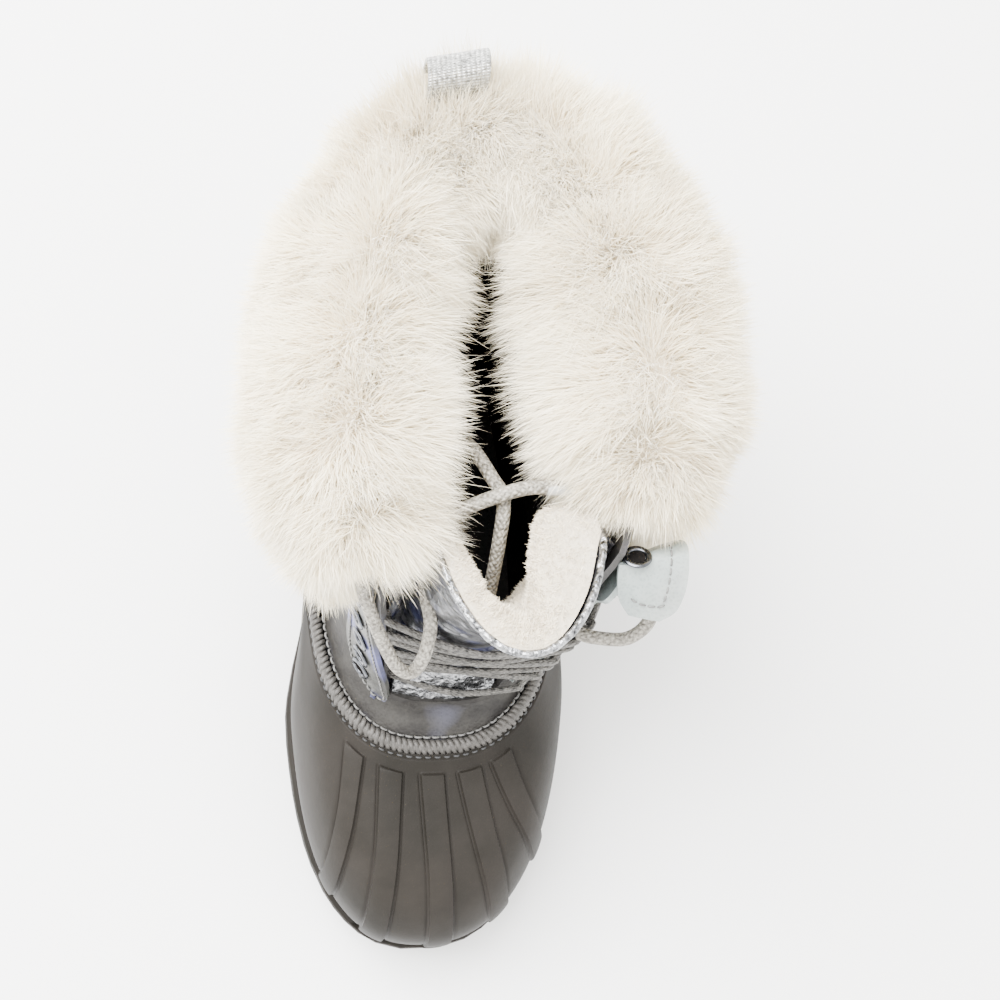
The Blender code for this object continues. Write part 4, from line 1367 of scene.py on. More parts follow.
@dataclass
class Upper:
    """The silver upper: one soft wall from the sole to the collar, open at the throat."""

    wall: float = 2.0 * MM
    open_share: float = 0.22
    crease: float = 0.55 * MM

    def angles(self, u: Array, level: Array) -> Array:
        """Angles whose columns follow the throat's edges.

        Args:
            u: shares of the way round, with the front in the middle.
            level: levels on the skin.

        Returns:
            Angles in degrees.
        """
        edge = Skin.throat(level)
        way = 1.0 - 2.0 * u
        inside = way / self.open_share * edge
        outside = np.sign(way) * (
            edge + (np.abs(way) - self.open_share) / (1 - self.open_share) * (180.0 - edge)
        )
        return 180.0 + np.where(np.abs(way) <= self.open_share, inside, outside)

    def level(self, v: Array) -> Array:
        """The outer face's levels at shares of the way up, sparse where the shell hides it."""
        return np.interp(v, (0.0, 0.15, 1.0), (0.05, 3.9, Skin.COLLAR))

    def lining_level(self, v: Array) -> Array:
        """The lining's levels at shares of the way up."""
        return 0.35 + 7.4 * v

    def place(self, u: Array, v: Array) -> Array:
        """Where the outer face goes.

        Args:
            u: shares of the way round, with the front in the middle.
            v: shares of the way up.

        Returns:
            Points in metres.
        """
        level = self.level(v)
        angle = self.angles(u, level)
        free = rises(level, 4.35, 0.3) * falls(level, 7.9, 0.3)
        flat = Skin.base(angle, level)
        fold = waves(flat * np.array((1.0, 1.0, 1.7)), 26.0 * MM, 5, 3)
        return Skin.point(angle, level, -0.25 * MM - self.crease * free * (0.6 + 0.6 * fold))

    def line(self, u: Array, v: Array) -> Array:
        """Where the lining's outer face goes."""
        level = self.lining_level(v)
        return Skin.point(self.angles(u, level), level, -self.wall - 1.6 * MM)

    def keep(self, u: Array, v: Array) -> Array:
        """Which of the outer face's parts stay: all but those in the throat."""
        return ~((self.level(v) > Skin.THROAT) & (np.abs(1.0 - 2.0 * u) < self.open_share))

    def keep_lining(self, u: Array, v: Array) -> Array:
        """Which of the lining's parts stay."""
        return ~((self.lining_level(v) > 4.85) & (np.abs(1.0 - 2.0 * u) < self.open_share))

    def build(self) -> None:
        """Makes the upper and its dark lining."""
        piece = wrap("upper_silver", (140, 90), self.place, (0.5, 0.17), self.keep)
        thicken(weld(piece), self.wall - 0.3 * MM)
        dress(smooth(piece), SILVER, ("upper",))
        lining = wrap("shaft_lining", (80, 40), self.line, (0.5, 0.17), self.keep_lining)
        thicken(weld(lining), 0.8 * MM)
        dress(smooth(lining), LINING)


@dataclass
class Eyestay:
    """The overlay beside the throat, with a sewn edge; the outer one ends in a free tab.

    OUTER holds, for each row, its level and its share of the full width; INNER its level and
    its two edges in millimetres from the throat's; TAB its middle, its half width and the way
    it faces in degrees.

    Args:
        side: 1 on the outer side and -1 on the inner.
    """

    side: int
    gap: float = 0.4 * MM
    wall: float = 1.4 * MM
    width: float = 15.0 * MM
    sewn: float = 1.9 * MM
    hem: float = 3.9 * MM

    OUTER = ((5.04, 0.55), (5.12, 0.85), (5.3, 1.0), (5.8, 1.0), (6.3, 1.0), (6.8, 1.0), (7.2, 1.0))
    INNER = (
        (4.86, -4.5, 0.0), (4.94, -5.2, 5.5), (5.06, -5.4, 12.5), (5.22, -5.2, 17.5),
        (5.5, -4.4, 19.5), (5.9, -2.4, 19.0), (6.3, -0.4, 17.5), (6.8, 1.0, 16.0), (7.3, 1.0, 16.0),
        (7.7, 1.0, 16.0), (7.88, 2.5, 14.5), (7.95, 5.1, 11.9),
    )
    TAB = (
        (38.4, -11.5, 147.5, 7.6, 56.0), (43.0, -9.0, 153.2, 7.8, 40.0),
        (45.4, -6.8, 158.8, 8.6, 18.0), (45.0, -9.6, 161.4, 9.2, 4.0),
        (44.4, -15.6, 159.0, 9.2, -8.0), (43.8, -20.7, 155.2, 7.8, -12.0),
        (43.4, -23.8, 152.4, 4.4, -12.0),
    )

    @property
    def node(self) -> str:
        """The CAD node that the overlay stands for."""
        return "eyestay_outer" if self.side > 0 else "eyestay_inner"

    def table(self) -> Array:
        """The rows of the inner face, five points in each.

        Returns:
            Points in metres, row by row.
        """
        rows = []
        share = np.linspace(0.0, 1.0, 5)
        half = self.width / MM / 2
        outer = [(at, 1 + half * (1 - wide), 1 + half * (1 + wide)) for at, wide in self.OUTER]
        for level, near, far in outer if self.side > 0 else self.INNER:
            place = (near + (far - near) * share) * MM
            rows.append(Skin.point(Skin.beside(self.side, level, place), level, self.gap))
        for *middle, half, degrees in self.TAB if self.side > 0 else ():
            turn = math.radians(degrees)
            way = np.array((math.cos(turn), math.sin(turn), 0.0))
            row = np.array(middle) + np.outer(np.linspace(-1, 1, 5) * half, way)
            rows.append(row * MM + ORIGIN)
        return np.array(rows)

    def at(self, across: Array, up: Array) -> Array:
        """Points of the inner face.

        Args:
            across: shares from the throat's edge outwards.
            up: shares from the lower end to the upper end.

        Returns:
            Points in metres.
        """
        table = self.table()
        rows = spline(table.reshape(len(table), -1), up * (len(table) - 1)).reshape(-1, 5, 3)
        return spline(rows.swapaxes(0, 1), across * 4, own=True)

    def outward(self, across: Array, up: Array) -> Array:
        """Unit normals away from the foot."""
        return outward(self.at, across, up, 0.0) * self.side

    def place(self, u: Array, v: Array) -> Array:
        """Where the outer face goes.

        Args:
            u: shares across, from the left.
            v: shares of the way up.

        Returns:
            Points in metres.
        """
        across = u if self.side > 0 else 1.0 - u
        puff = np.sin(np.pi * np.clip(across, 0, 1)) ** 0.5
        base = self.at(across, v) + self.outward(across, v) * self.wall
        crease = waves(base, 9.0 * MM, 8 + self.side, 2)
        return base + self.outward(across, v) * (0.18 * MM * crease * puff)[:, None]

    def build(self) -> None:
        """Makes the overlay and the stitches round it."""
        piece = wrap(f"{self.node}_silver", (22, 90), self.place, (self.width, 0.1))
        weld(round_off(thicken(piece, self.wall), 0.35 * MM, 50.0))
        finish = PALE_SILVER if self.side > 0 else SHOT_SILVER
        dress(smooth(piece), finish, (self.node,))
        self.sew()

    def sew(self) -> None:
        """Sews a row of stitches round inside the edge."""
        inset = self.sewn / self.width
        low, high = 0.035, 0.985 if self.side > 0 else 0.97
        side_run = np.linspace(low, high, 90)
        over = np.linspace(inset, 1 - inset, 14)
        across = np.concatenate((np.full(90, inset), over, np.full(90, 1 - inset), over[::-1]))
        up = np.concatenate((side_run, np.full(14, high), side_run[::-1], np.full(14, low)))
        if self.side > 0:
            free = rises(up, 0.55, 0.1)
            deep = (self.hem - self.sewn) / self.width * free
            across = np.clip(across, inset + deep, 1 - inset - deep)
            up = np.minimum(up, 0.925 - 0.05 * np.abs(2 * across - 1) ** 2 * free)
        normals = self.outward(across, up)
        path = self.at(across, up) + normals * (self.wall + 0.05 * MM)
        seam = Seam(1.7 * MM, 2.3 * MM, 0.3 * MM)
        seam.sew(f"{self.node}_stitches", (path, normals), self.node)
        if self.side > 0:
            # Only the tab's outer edge and its end show from behind: the run starts after the gap.
            under = np.flatnonzero((up > 0.66) & ((across > 0.4) | (up > 0.89)))
            if np.diff(under).max() > 1:
                under = np.roll(under, -int(np.argmax(np.diff(under)) + 1))
            back = self.at(across[under], up[under]) - normals[under] * 0.1 * MM
            seam = Seam(1.8 * MM, 2.5 * MM, 0.26 * MM)
            seam.sew("eyestay_tab_stitches", (back, -normals[under]), self.node)


@dataclass
class Eyelets:
    """The dark metal rings, each standing on its overlay."""

    lift: float = 2.2 * MM
    on_tab: tuple[float, float] = (0.23, 0.75)

    PROFILE = (
        (2.25, 0.0), (3.9, 0.0), (3.95, 0.2), (3.8, 0.42), (3.4, 0.62), (3.0, 0.7), (2.6, 0.62),
        (2.3, 0.4),
    )

    def build(self) -> None:
        """Makes each ring and the dark hole in it."""
        for side, word in SIDES:
            for index, level in enumerate(RING_LEVELS):
                node, angle = f"eyelet_{word}_{index}", Skin.beside(side, level, RING_INSET)
                centre = Skin.point(angle, level, self.lift)
                self.turn(node, centre, Skin.normal(angle, level), node, (node,))
        tab = Eyestay(side=1)
        across, up = (np.array([share]) for share in self.on_tab)
        normal = tab.outward(across, up)[0]
        self.turn("eyelet_tab", tab.at(across, up)[0] - normal * 0.1 * MM, -normal, "eyestay_outer")

    def turn(
        self, name: str, centre: Array, normal: Array, node: str, instead: tuple[str, ...] = ()
    ) -> None:
        """Turns one ring and its hole.

        Args:
            name: the first part of the objects' names.
            centre: the middle of the ring's foot.
            normal: the way out of the hole.
            node: a CAD node; not used.
            instead: the CAD nodes that they stand for.
        """
        first = unit(np.cross(normal, UP))
        second = np.cross(normal, first)
        profile = np.array(self.PROFILE) * MM

        def place(u: Array, v: Array) -> Array:
            """Where the ring's face goes.

            Args:
                u: shares of the way round.
                v: shares along the profile.

            Returns:
                Points in metres.
            """
            turn = 2 * np.pi * u
            row = np.rint(v * len(profile)).astype(int) % len(profile)
            out, up = profile[row, 0][:, None], profile[row, 1][:, None]
            spoke = np.cos(turn)[:, None] * first + np.sin(turn)[:, None] * second
            return centre + spoke * out + normal * up

        ring = wrap(name + "_ring", (40, len(profile)), place, (0.02, 0.008))
        dress(smooth(weld(ring, fill=True), 55.0), NICKEL, instead)
        path = centre + np.outer(np.linspace(-0.3, 0.2, 3) * MM, normal)
        hole = tube(name + "_hole", path, 2.2 * MM, 20)
        dress(hole, LINING)


# --- tongue
@dataclass
class Tongue:
    """The tongue: crinkled silver outside, a foil edge, and thick fleece inside.

    ROOTS holds, below the throat's foot, levels with the half width in degrees and the way out
    in millimetres. ROWS holds, above it, the height and the front of its middle, its half
    width, its depth and its lean in millimetres.
    """

    skin: float = 1.2 * MM
    pad: float = 7.0 * MM
    edge: float = 1.0 * MM
    strands: int = 27000

    ROWS = (
        (86.0, -26.8, 17.0, 8.0, 0.6), (106.0, -26.0, 18.5, 12.0, 2.0),
        (128.0, -26.0, 20.0, 18.0, 4.5), (150.0, -28.5, 21.5, 25.0, 7.0),
        (163.0, -32.0, 22.5, 30.0, 8.0), (174.0, -36.5, 22.5, 33.0, 8.5),
    )
    ROOTS = ((4.6, 31.0, -2.6), (5.05, 34.0, -2.8))
    TOP = 10.0
    BACK = np.array((0.0, 1.0, 0.0))

    @classmethod
    def front(cls, height: float) -> float:
        """The y of the outer face in the middle.

        Args:
            height: the height in metres.

        Returns:
            The y in metres.
        """
        root = Skin.point(180.0, 5.05, -2.8 * MM)
        rows = np.array(cls.ROWS) * MM
        heights = [root[2] + 0.6 * MM, *rows[:, 0]]
        fronts = [root[1], *(rows[:, 1] + ORIGIN[1])]
        return float(np.interp(height, heights, fronts))

    def bow(self, across: Array, row: Array) -> Array:
        """Points of the outer face above the throat.

        Args:
            across: from -1 on the inner side to 1 on the outer.
            row: the place among ROWS.

        Returns:
            Points in metres.
        """
        numbers = spline(np.array(self.ROWS), row)
        z, front, half, depth, lean = (numbers[..., index] for index in range(5))
        full = math.radians(78.0)
        turn = full * across
        x = lean + half * np.sin(turn) / math.sin(full)
        y = front + depth * (1 - np.cos(turn)) / (1 - math.cos(full))
        drop = 7.0 * np.abs(across) ** 3 * rises(z, 140.0, 34.0)
        return np.stack((x, y, z - drop), -1) * MM + ORIGIN

    def at(self, across: Array, up: Array) -> Array:
        """Points of the outer face.

        Args:
            across: from -1 to 1.
            up: from 0 at the root to 1 at the rim.

        Returns:
            Points in metres.
        """
        rows = [Skin.point(180.0 - across * half, low, out * MM) for low, half, out in self.ROOTS]
        rows += [self.bow(across, step * 5 / 8) for step in range(9)]
        return spline(np.stack(rows), up * self.TOP, own=True)

    def outward(self, across: Array, up: Array) -> Array:
        """Unit normals away from the foot."""
        return outward(self.at, across, up, -1.0)

    def face(self, u: Array, v: Array) -> Array:
        """Where the silver outer face goes, with its creases.

        Args:
            u: shares across.
            v: shares of the way up.

        Returns:
            Points in metres.
        """
        across = 2 * u - 1
        base = self.at(across, v)
        squeeze = base * np.array((0.45, 1.0, 2.2))
        crease = waves(squeeze, 15.0 * MM, 21, 4)
        root = falls(v, 0.35, 0.25)
        depth = (0.45 + 0.9 * root) * MM * falls(v, 1.0, 0.05) * rises(v, 0.0, 0.04)
        return base + self.outward(across, v) * (depth * (crease - 0.35))[:, None]

    def back(self, u: Array, v: Array) -> Array:
        """Where the fleece's inner face goes: fuller and drawn back on the outer side.

        Args:
            u: shares across.
            v: shares of the way up.

        Returns:
            Points in metres.
        """
        across, up = self.pad_places(u, v)
        side = np.clip((np.abs(across) - 0.80) / 0.185, 0.0, 1.0)
        top = np.clip((up - 0.925) / 0.075, 0.0, 1.0)
        crown = np.sqrt(1.0 - 0.99 * side**2) * np.sqrt(1.0 - 0.99 * top**2)
        thick = self.pad * (1.0 + 1.2 * rises(across, 0.1, 0.5) * rises(up, 0.6, 0.3))
        base = self.at(across, up)
        lump = 0.5 * MM * waves(base, 12.0 * MM, 33, 2)
        depth = 0.8 * MM + (thick + lump) * crown
        wrapped = rises(across, 0.35, 0.5) * rises(up, 0.55, 0.3) * np.sqrt(1.0 - top**2)
        back = self.BACK * (7.0 * MM * wrapped)[:, None]
        return base - self.outward(across, up) * depth[:, None] + back

    @staticmethod
    def pad_places(u: Array, v: Array) -> tuple[Array, Array]:
        """The fleece's places across and up the outer face, a little inside its edges."""
        return (1 - 2 * u) * 0.985, 0.03 + 0.97 * v

    def build(self) -> None:
        """Makes the outer face, the fleece, the foil edge, both gussets and the foot's facing."""
        front = wrap("tongue_silver", (80, 110), self.face, (0.06, 0.11))
        dress(smooth(weld(thicken(front, self.skin))), BELLOWS, ("tongue",))
        pad = wrap("tongue_fleece", (60, 70), self.back, (0.06, 0.11))
        dress(smooth(weld(thicken(pad, 1.0 * MM))), FLEECE)
        self.bind()
        self.grow()
        for side, word, reach in ((1.0, "outer", 0.80), (-1.0, "inner", 0.60)):
            place = partial(self.gusset, side=side, reach=reach)
            fold = wrap(f"tongue_gusset_{word}", (30, 60), place, (0.02, 0.08))
            dress(smooth(weld(thicken(fold, 0.5 * MM, 0.0))), BELLOWS)
        facing = wrap("tongue_foot_foil", (70, 22), self.foot, (0.04, 0.015))
        dress(smooth(weld(thicken(facing, 0.4 * MM))), FOIL)

    def gusset(self, u: Array, v: Array, side: float, reach: float) -> Array:
        """Where a creased gusset goes, which joins a side of the tongue to the throat.

        Args:
            u: shares of the way from the tongue to the throat.
            v: shares of the way up.
            side: 1 on the outer side and -1 on the inner.
            reach: the tongue's share of its height up to which it is joined.

        Returns:
            Points in metres.
        """
        levels = np.linspace(4.6, 7.9, 40)
        heights = Skin.point(180.0 - side * Skin.throat(levels), levels, -2.6 * MM)[:, 2]
        up = 0.04 + reach * v
        edge = np.full_like(up, side * 0.97)
        near = self.at(edge, up) - self.outward(edge, up) * 0.6 * MM
        level = np.interp(near[:, 2], heights, levels)
        far = Skin.point(Skin.beside(side, level, 4.0 * MM), level, -2.7 * MM)
        base = near + (far - near) * u[:, None]
        crease = waves(base * np.array((1.0, 1.0, 0.5)), 8.0 * MM, 51, 2)
        deep = np.sin(np.pi * u) * (1.6 + 1.5 * crease) * MM
        return base + self.BACK * deep[:, None]

    def foot(self, u: Array, v: Array) -> Array:
        """Where the crinkled facing over the tongue's foot goes.

        Args:
            u: shares across.
            v: shares of the way up.

        Returns:
            Points in metres.
        """
        across = 1.7 * (u - 0.5)
        up = 0.055 + 0.14 * v
        base = self.at(across, up)
        rim = rises(u, 0.0, 0.05) * falls(u, 1.0, 0.05) * falls(v, 1.0, 0.1) * rises(v, 0.0, 0.3)
        crinkle = waves(base * np.array((1.0, 1.0, 0.6)), 6.0 * MM, 61, 3)
        height = (0.3 + rim * (1.0 + 0.8 * crinkle)) * MM
        return base + self.outward(across, up) * height[:, None]

    def bind(self) -> None:
        """Wraps the rim in crinkled foil."""
        side = np.linspace(0.62, 0.985, 50)
        over = np.linspace(-1.0, 1.0, 120)[1:-1]
        across = np.concatenate((np.full(50, -1.0), over, np.full(50, 1.0)))
        up = np.concatenate((side, np.full(118, 1.0), side[::-1]))
        path = self.at(across, up) - self.outward(across, up) * 0.6 * MM
        path = even_path(path[::3], 0.5 * MM)

        def swell(u: Array, v: Array) -> Array:
            """The foil's uneven thickness, from shares along and round it.

            Args:
                u: shares along.
                v: shares of the way round.

            Returns:
                Factors of the radius.
            """
            turn, out = 6.28 * v, 4.0 * MM
            places = np.stack((u * path_length(path), out * np.cos(turn), out * np.sin(turn)), -1)
            return 1.0 + 0.16 * waves(places, 5.0 * MM, 3, 3)

        rim = tube("tongue_edge_foil", path, self.edge, 16, swell)
        dress(rim, FOIL)

    def grow(self) -> None:
        """Grows the short curled pile over the fleece."""
        random, count = np.random.default_rng(77), self.strands
        u, v = random.uniform(0.0, 1.0, count), random.uniform(0.25, 1.0, count) ** 0.7
        roots = self.back(u, v)
        ways = -self.outward(*self.pad_places(u, v))
        ways = ways + UP * (0.25 + 0.9 * rises(v, 0.93, 0.07))[:, None]
        strands = Strands(width=0.3 * MM, stiff=0.3, pull=0.35, clump=1.5 * MM, spread=0.9)
        lengths = random.uniform(0.9, 1.6, count) * MM
        pile = strands.grow("tongue_pile", roots, ways, np.zeros(3), lengths, 5, facing=ways)
        dress(pile, BOA)


# --- fur
@dataclass
class Strands:
    """Many tapered strands that lean together into locks.

    Args:
        width: a strand's width at its root.
        stiff: how much of its own way a strand keeps, from 0 to 1.
        pull: how far the tips are drawn to their lock's tip.
        clump: the width of a lock.
        spread: how much the ways vary.
    """

    width: float = 0.2 * MM
    stiff: float = 0.7
    pull: float = 0.6
    clump: float = 5.0 * MM
    spread: float = 0.35

    STEPS = (0.0, 0.55, 1.0)
    TAPER = (1.0, 0.8)

    def locks(self, roots: Array) -> Array:
        """For each strand, the number of the strand that leads its lock.

        Args:
            roots: where the strands start.

        Returns:
            One number for each strand.
        """
        bent = roots + waves(roots, 7 * self.clump, 2, 1)[:, None] * self.clump * 0.4
        cell = np.floor(bent / self.clump)
        number = cell[:, 0] * 73856093 + cell[:, 1] * 19349663 + cell[:, 2] * 83492791
        _, first, which = np.unique(number, return_index=True, return_inverse=True)
        return first[which.ravel()]

    def grow(
        self,
        name: str,
        roots: Array,
        ways: Array,
        droop: Array,
        lengths: Array,
        seed: int,
        facing: Array,
    ) -> Object:
        """Makes the strands as one mesh.

        Args:
            name: the object's name.
            roots: where they start.
            ways: which way each starts.
            droop: how far each bends by its tip, for each metre of its length.
            lengths: how long each is.
            seed: which pattern.
            facing: the pile's own outward way at each root, which the strands' flat sides turn to.

        Returns:
            The new object, whose UV map holds the tint and the place from root to tip.
        """
        random = np.random.default_rng(seed)
        count = len(roots)
        astray = random.normal(0.0, self.spread, (count, 3)) * (1 - self.stiff)
        ways = unit(unit(ways) + astray)
        lead = self.locks(roots)
        steps = np.array(self.STEPS)
        droop = np.broadcast_to(droop, (count, 3))
        curl = random.normal(0.0, 0.35, (count, 3)) * self.spread
        path = roots[:, None] + lengths[:, None, None] * (
            ways[:, None] * steps[:, None] + (droop + curl)[:, None] * (steps**2)[:, None]
        )
        drawn = (self.pull * steps**1.4)[:, None] * random.uniform(0.55, 1.0, (count, 1, 1))
        path = path * (1 - drawn) + path[lead] * drawn
        along = path[:, -1] - path[:, 0]
        chance = random.normal(size=(count, 3))
        side = unit(np.cross(along, facing + 0.3 * chance))
        half = 0.5 * self.width * random.uniform(0.7, 1.25, (count, 1))
        rows = []
        for step, taper in enumerate(self.TAPER):
            rows += [path[:, step] - side * half * taper, path[:, step] + side * half * taper]
        rows.append(path[:, 2])
        points = np.stack(rows, 1)
        pattern = np.array((0, 1, 3, 2, 2, 3, 4))
        corners = (np.arange(count)[:, None] * 5 + pattern).ravel()
        obj = from_arrays(name, points.reshape(-1, 3), corners, np.tile((4, 3), count))
        up = np.array((0.0, 0.0, *[steps[1]] * 4, 1.0))
        cloud = 0.22 * waves(roots, 18 * MM, 4, 2)
        tint = np.clip(0.5 + 0.18 * random.normal(size=count) + cloud, 0, 1)
        layer = obj.data.uv_layers.new(name="OFBake")
        flat = np.stack((np.repeat(tint, len(up)), np.tile(up, count)), -1)
        layer.data.foreach_set("uv", flat.ravel())
        return obj


@dataclass(frozen=True)
class Coat:
    """One coat of strands on the cuff.

    Args:
        name: the object's name.
        count: how many strands.
        band: the part of the section that it covers.
        lengths: the shortest and longest strand in millimetres.
        seed: which pattern.
    """

    name: str
    count: int
    band: tuple[float, float]
    lengths: tuple[float, float]
    seed: int


@dataclass
class Cuff:
    """The deep fur cuff: a soft roll over the collar, parted down the middle of the opening.

    Apart from `climb`, the metres of height of one level, lengths are in millimetres. The
    backing lies `shrink` under the fur's face and `seat` off the shaft, `overlay` more where it
    rests on the overlays. The coats grow longer by `full` on the outer half, by `crest` on the
    crown behind, by `tuft` at the pull loop, which stands `loop` degrees round, and by `slit`
    on the inner and outer side of the opening. Outside none is longer than `longest`, and by
    the tab they are `short` shorter.
    """

    shrink: float = 5.2
    seat: float = 0.6
    climb: float = 34.0 * MM
    overlay: float = 1.8
    lean: float = 5.0
    ends: tuple[float, float] = (-124.5, 115.0)
    loop: float = -17.0
    full: float = 3.0
    crest: float = 4.0
    tuft: float = 4.0
    slit: tuple[float, float] = (5.2, 6.0)
    longest: float = 14.0
    short: float = 2.5

    COATS = (
        Coat("fur_outside", 50000, (0.0, 0.48), (7.2, 10.5), 102),
        Coat("fur_crown", 54000, (0.32, 0.76), (7.2, 10.5), 103),
        Coat("fur_inside", 45000, (0.62, 1.0), (8.5, 12.5), 104),
    )
    INSIDE = -2.7
    ENDS = Coat("fur_ends", 34000, (0.0, 0.97), (8.0, 12.0), 105)
    FIBRES = Strands(width=0.25 * MM, stiff=0.5, pull=0.3, clump=2.6 * MM, spread=0.5)

    SECTION = (
        (5.0, -46.0), (12.0, -47.0), (22.0, -42.0), (27.0, -30.0), (29.0, -15.0), (28.0, 0.0),
        (23.0, 12.0), (14.0, 20.0), (4.0, 24.0), (-7.0, 22.0), (-15.5, 14.5), (-19.0, 2.0),
        (-16.5, -9.0), (-8.0, -18.0),
    )

    def lift(self, angle: Array, out: Array, rise: Array) -> Array:
        """A point by its way out from the shaft's face and up from the collar's edge.

        Args:
            angle: degrees round from the heel.
            out: millimetres out.
            rise: millimetres up.

        Returns:
            Points in metres.
        """
        level = Skin.COLLAR + rise * MM / self.climb
        normal = Skin.normal(angle, np.minimum(level, Skin.COLLAR))
        normal[:, 2] = 0.0
        return Skin.base(angle, level) + unit(normal) * (out * MM)[:, None]

    def edge(self, angle: Array) -> Array:
        """Degrees to the nearer end of the roll."""
        return np.minimum(angle - self.ends[0], self.ends[1] - angle)

    def section(self, angle: Array, share: Array) -> tuple[Array, Array]:
        """The roll's section and its outward normals, in millimetres.

        Args:
            angle: degrees round from the heel.
            share: from 0 at the lower edge outside to 1 at the lower edge inside.

        Returns:
            Places and unit normals, each as ways out and up.
        """
        rows = np.array(self.SECTION)
        at = share * (len(rows) - 1)
        here = spline(rows, at)
        ahead = spline(rows, np.minimum(at + 0.05, len(rows) - 1))
        way = ahead - spline(rows, np.maximum(at - 0.05, 0))
        normal = unit(np.stack((way[:, 1], -way[:, 0]), -1))
        whole = 0.74 + 0.26 * rises(self.edge(angle), 0.0, 16.0)
        broad = 0.68 + 0.32 * np.abs(np.sin(np.radians(angle))) ** 1.5
        out = here[:, 0] * whole * np.where(here[:, 0] > 0, broad, 1.0)
        side = rises(angle, 0.0, 30.0) * falls(angle, 130.0, 20.0)
        out -= self.lean * side * rises(share, 0.52, 0.2)
        rise = (here[:, 1] + 12.0) * whole - 12.0
        return np.stack((out, rise), -1), normal

    def at(self, angle: Array, share: Array, deep: Array | float) -> Array:
        """Points of the roll under its face, clear of the shaft's wall.

        Args:
            angle: degrees round from the heel.
            share: shares of the way round the section.
            deep: millimetres below the face.

        Returns:
            Points in metres.
        """
        place, normal = self.section(angle, share)
        place = place - normal * np.broadcast_to(deep, (len(place),))[:, None]
        seat = self.seat + self.overlay * falls(180.0 - np.abs(angle), 78.0, 6.0)
        low = place[:, 1] < 1.0
        out = np.where(low & (share < 0.5), np.maximum(place[:, 0], seat), place[:, 0])
        out = np.where(low & (share > 0.5), np.minimum(out, self.INSIDE), out)
        return self.lift(angle, out, place[:, 1])

    def around(self, angle: Array, share: Array) -> Array:
        """Unit vectors along the roll, towards growing angles."""
        ahead = self.at(angle + 0.5, share, self.shrink)
        return unit(ahead - self.at(angle - 0.5, share, self.shrink))

    def build(self) -> None:
        """Makes the backing under the fur and the coats of strands over it."""
        self.build_backing()
        for coat in self.COATS:
            self.coat(coat)
        self.coat_ends()

    def build_backing(self) -> None:
        """The soft body under the fur, closed at both ends."""

        # The last part of the way up folds round the collar and down inside, to the shaft's face.
        turn, folds = 0.86, (0, 0.4, 0.7, 1)
        outs, rises_to = (self.INSIDE, self.INSIDE, 0.7, 0.7), (-18.0, 1.0, 1.0, -38.0)

        def place(u: Array, v: Array) -> Array:
            """Where the backing's face goes.

            Args:
                u: shares of the way from the outer end to the inner.
                v: shares of the way round the section.

            Returns:
                Points in metres.
            """
            angle = self.ends[1] + (self.ends[0] - self.ends[1]) * u
            deep = self.shrink + 3.0 * (1 - rises(self.edge(angle), 0.0, 7.0))
            face = self.at(angle, np.clip(v / turn, 0.0, 1.0), deep)
            foot = np.clip((v - turn) / (1 - turn), 0.0, 1.0)
            seat = self.lift(angle, np.interp(foot, folds, outs), np.interp(foot, folds, rises_to))
            shut = self.at(angle, np.zeros_like(angle), deep)
            seat = np.where((v > 0.999)[:, None], shut, seat)
            return np.where((v > turn)[:, None], seat, face)

        body = weld(wrap("fur_backing", (110, 64), place, (0.3, 0.2)), fill=True)
        dress(smooth(body), HIDE, ("cuff",))

    def comb(self, angle: Array, share: Array, roots: Array, out: Array, down: Array) -> Array:
        """The ways in which strands start: outwards, down the face and in swirls and tufts.

        Args:
            angle: degrees round from the heel.
            share: shares of the way round the section.
            roots: where the strands start.
            out: unit vectors out of the face.
            down: unit vectors down the face outside.

        Returns:
            One way for each strand.
        """
        swirl = self.flow(share) + 0.6 * waves(roots, 34.0 * MM, 9, 2)
        swirl = swirl + 0.35 * waves(roots, 13.0 * MM, 14, 2)
        front = np.sign(angle) * rises(np.abs(angle), 70.0, 45.0)
        side = 0.5 * front + 0.7 * waves(roots, 22.0 * MM, 12, 3)
        ways = 0.9 * out + down * swirl[:, None] + self.around(angle, share) * side[:, None]
        # By the pull loop they stand up, but for those that hang over the lower edge.
        high = falls(np.abs(angle - self.loop), 26.0, 12.0)
        high = high * falls(share, 0.62, 0.1) * rises(share, 0.14, 0.16)
        return ways + (0.9 * UP - 0.75 * ways) * high[:, None]

    def flow(self, share: Array) -> Array:
        """How strongly strands run down the face, less towards the crown and up inside."""
        return 1.1 * (0.60 - share) / 0.60

    def trim(self, size: Array, angle: Array, share: Array) -> Array:
        """Gives strands the lengths of their place on the cuff.

        Args:
            size: lengths in millimetres.
            angle: degrees round from the heel.
            share: shares of the way round the section.

        Returns:
            The new lengths.
        """
        outer = rises(angle, -50.0, 30.0) * falls(angle, 105.0, 30.0) * falls(share, 0.7, 0.2)
        behind = rises(angle, -45.0, 30.0) * falls(angle, 50.0, 30.0)
        crown = rises(share, 0.24, 0.12) * falls(share, 0.7, 0.2)
        beside = falls(np.abs(angle - self.loop), 18.0, 7.0)
        beside = beside * rises(share, 0.3, 0.08) * falls(share, 0.62, 0.1)
        inner_slit = self.slit[0] * falls(angle, -42.0, 20.0)
        outer_slit = self.slit[1] * rises(angle, 42.0, 20.0) * falls(angle, 112.0, 10.0)
        size = size + self.full * outer + self.crest * behind * crown + self.tuft * beside
        size = size + (inner_slit + outer_slit) * rises(share, 0.5, 0.15)
        size = np.where(share < 0.42, np.minimum(size, self.longest), size)
        return size - self.short * rises(angle, 92.0, 10.0) * falls(share, 0.42, 0.1)

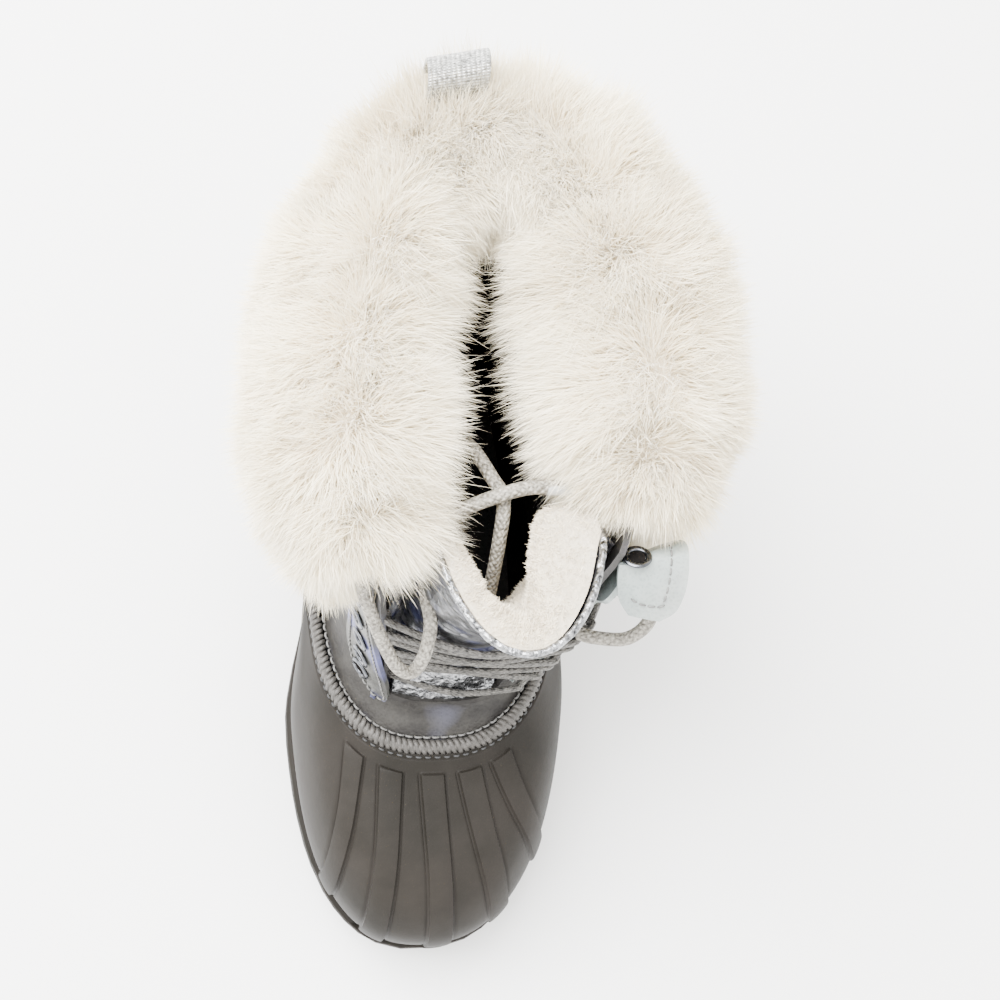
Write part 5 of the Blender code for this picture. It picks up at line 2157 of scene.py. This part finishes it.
    def coat(self, coat: Coat) -> None:
        """Grows one coat of strands.

        Args:
            coat: which one.
        """
        random = np.random.default_rng(coat.seed)
        angle = random.uniform(self.ends[0] + 1.0, self.ends[1] - 1.0, coat.count)
        share = random.uniform(*coat.band, coat.count)
        roots = self.at(angle, share, self.shrink - 0.5)
        out = unit(self.at(angle, share, self.shrink - 0.5 - 0.4) - roots)
        lower = self.at(angle, np.maximum(share - 0.01, 0.0), self.shrink)
        down = unit(lower - self.at(angle, np.minimum(share + 0.01, 1.0), self.shrink))
        ways = self.comb(angle, share, roots, out, down)
        droop = down * (0.2 * self.flow(share))[:, None] - 0.1 * UP
        size = random.uniform(*coat.lengths, coat.count)
        size = self.trim(size * (0.9 + 0.24 * waves(roots, 16.0 * MM, 6, 2)), angle, share)
        grow = self.FIBRES.grow
        piece = grow(coat.name, roots, ways, droop, size * MM, coat.seed, facing=out)
        dress(piece, FUR)

    def coat_ends(self) -> None:
        """Grows the strands over the two front ends of the cuff."""
        coat = self.ENDS
        random = np.random.default_rng(coat.seed)
        which = random.integers(0, 2, coat.count) * 2 - 1
        tip = np.where(which > 0, self.ends[1], self.ends[0])
        angle = tip - which * random.uniform(0.0, 6.0, coat.count)
        share = random.uniform(*coat.band, coat.count)
        rim = self.at(angle, share, self.shrink + 0.5)
        heart = self.lift(angle, np.full(coat.count, 3.0), np.full(coat.count, -6.0))
        far = np.sqrt(random.uniform(0.02, 1.0, coat.count))
        inner = far < 0.8
        level = self.at(np.where(inner, tip, angle), share, self.shrink + 2.5)
        roots = heart + (np.where(inner[:, None], level, rim) - heart) * far[:, None]
        out = unit(rim - heart)
        facing = self.around(angle, share) * which[:, None] + out * (far**3)[:, None]
        ways = facing + 0.45 * out
        ways += 0.45 * np.stack([waves(roots, 14.0 * MM, 40 + axis, 2) for axis in range(3)], -1)
        ways[:, 0] += np.where(which < 0, 0.45, -0.25)
        longer = np.where(which < 0, 7.5 * rises(share, 0.5, 0.2) - 0.5, 1.0)
        size = (random.uniform(*coat.lengths, coat.count) + longer) * MM
        piece = self.FIBRES.grow(coat.name, roots, ways, -0.15 * UP, size, coat.seed, facing=facing)
        dress(piece, FUR)


# --- small parts
@dataclass
class PullLoop:
    """The glittering webbing loop at the back of the cuff."""

    place: Triple = (-0.008, 0.1070, 0.1925)
    width: float = 15.5 * MM
    wall: float = 1.3 * MM
    radius: float = 3.6 * MM
    rise: float = 7.4 * MM
    tilt: float = 2.4 * MM

    def fold(self, u: Array, v: Array) -> Array:
        """Where the webbing's outer face goes.

        Args:
            u: shares across it.
            v: shares of the way over.

        Returns:
            Points in metres.
        """
        middle = np.array(self.place) + ORIGIN
        turn = np.pi * (v - 0.5)
        tilt = self.tilt * (0.5 - u)
        x = middle[0] + (0.5 - u) * self.width
        y = middle[1] + self.radius * np.sin(turn) + tilt
        z = middle[2] + (self.rise + tilt + self.radius) * np.maximum(np.cos(turn), 0.0) ** 0.5
        return np.stack((x, y, np.maximum(z, middle[2])), -1)

    def build(self) -> None:
        """Makes the loop and gives it its thickness."""
        piece = wrap("pull_loop_webbing", (20, 48), self.fold, (self.width, 0.03))
        round_off(thicken(piece, self.wall), 0.3 * MM, 50.0)
        dress(smooth(weld(piece), 50.0), WEBBING, ("pull_loop",))


@dataclass
class Insole:
    """The loose insole, which keeps its CAD shape."""

    def build(self) -> None:
        """Gives the insole its felt."""
        for slot in bpy.data.objects["insole"].material_slots:
            slot.material = FELT.material()


# --- making
def main() -> None:
    """Builds the boot, the camera and cords first."""
    logging.basicConfig(level=logging.INFO, format="%(message)s")
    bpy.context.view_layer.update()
    lower = (Shell(), Sole(), Binding(), Upper(), Eyestay(side=1), Eyestay(side=-1))
    for part in (Studio(), Lacing(), *lower, Eyelets(), Tongue(), Cuff(), PullLoop(), Insole()):
        part.build()


if __name__ == "__main__":
    main()
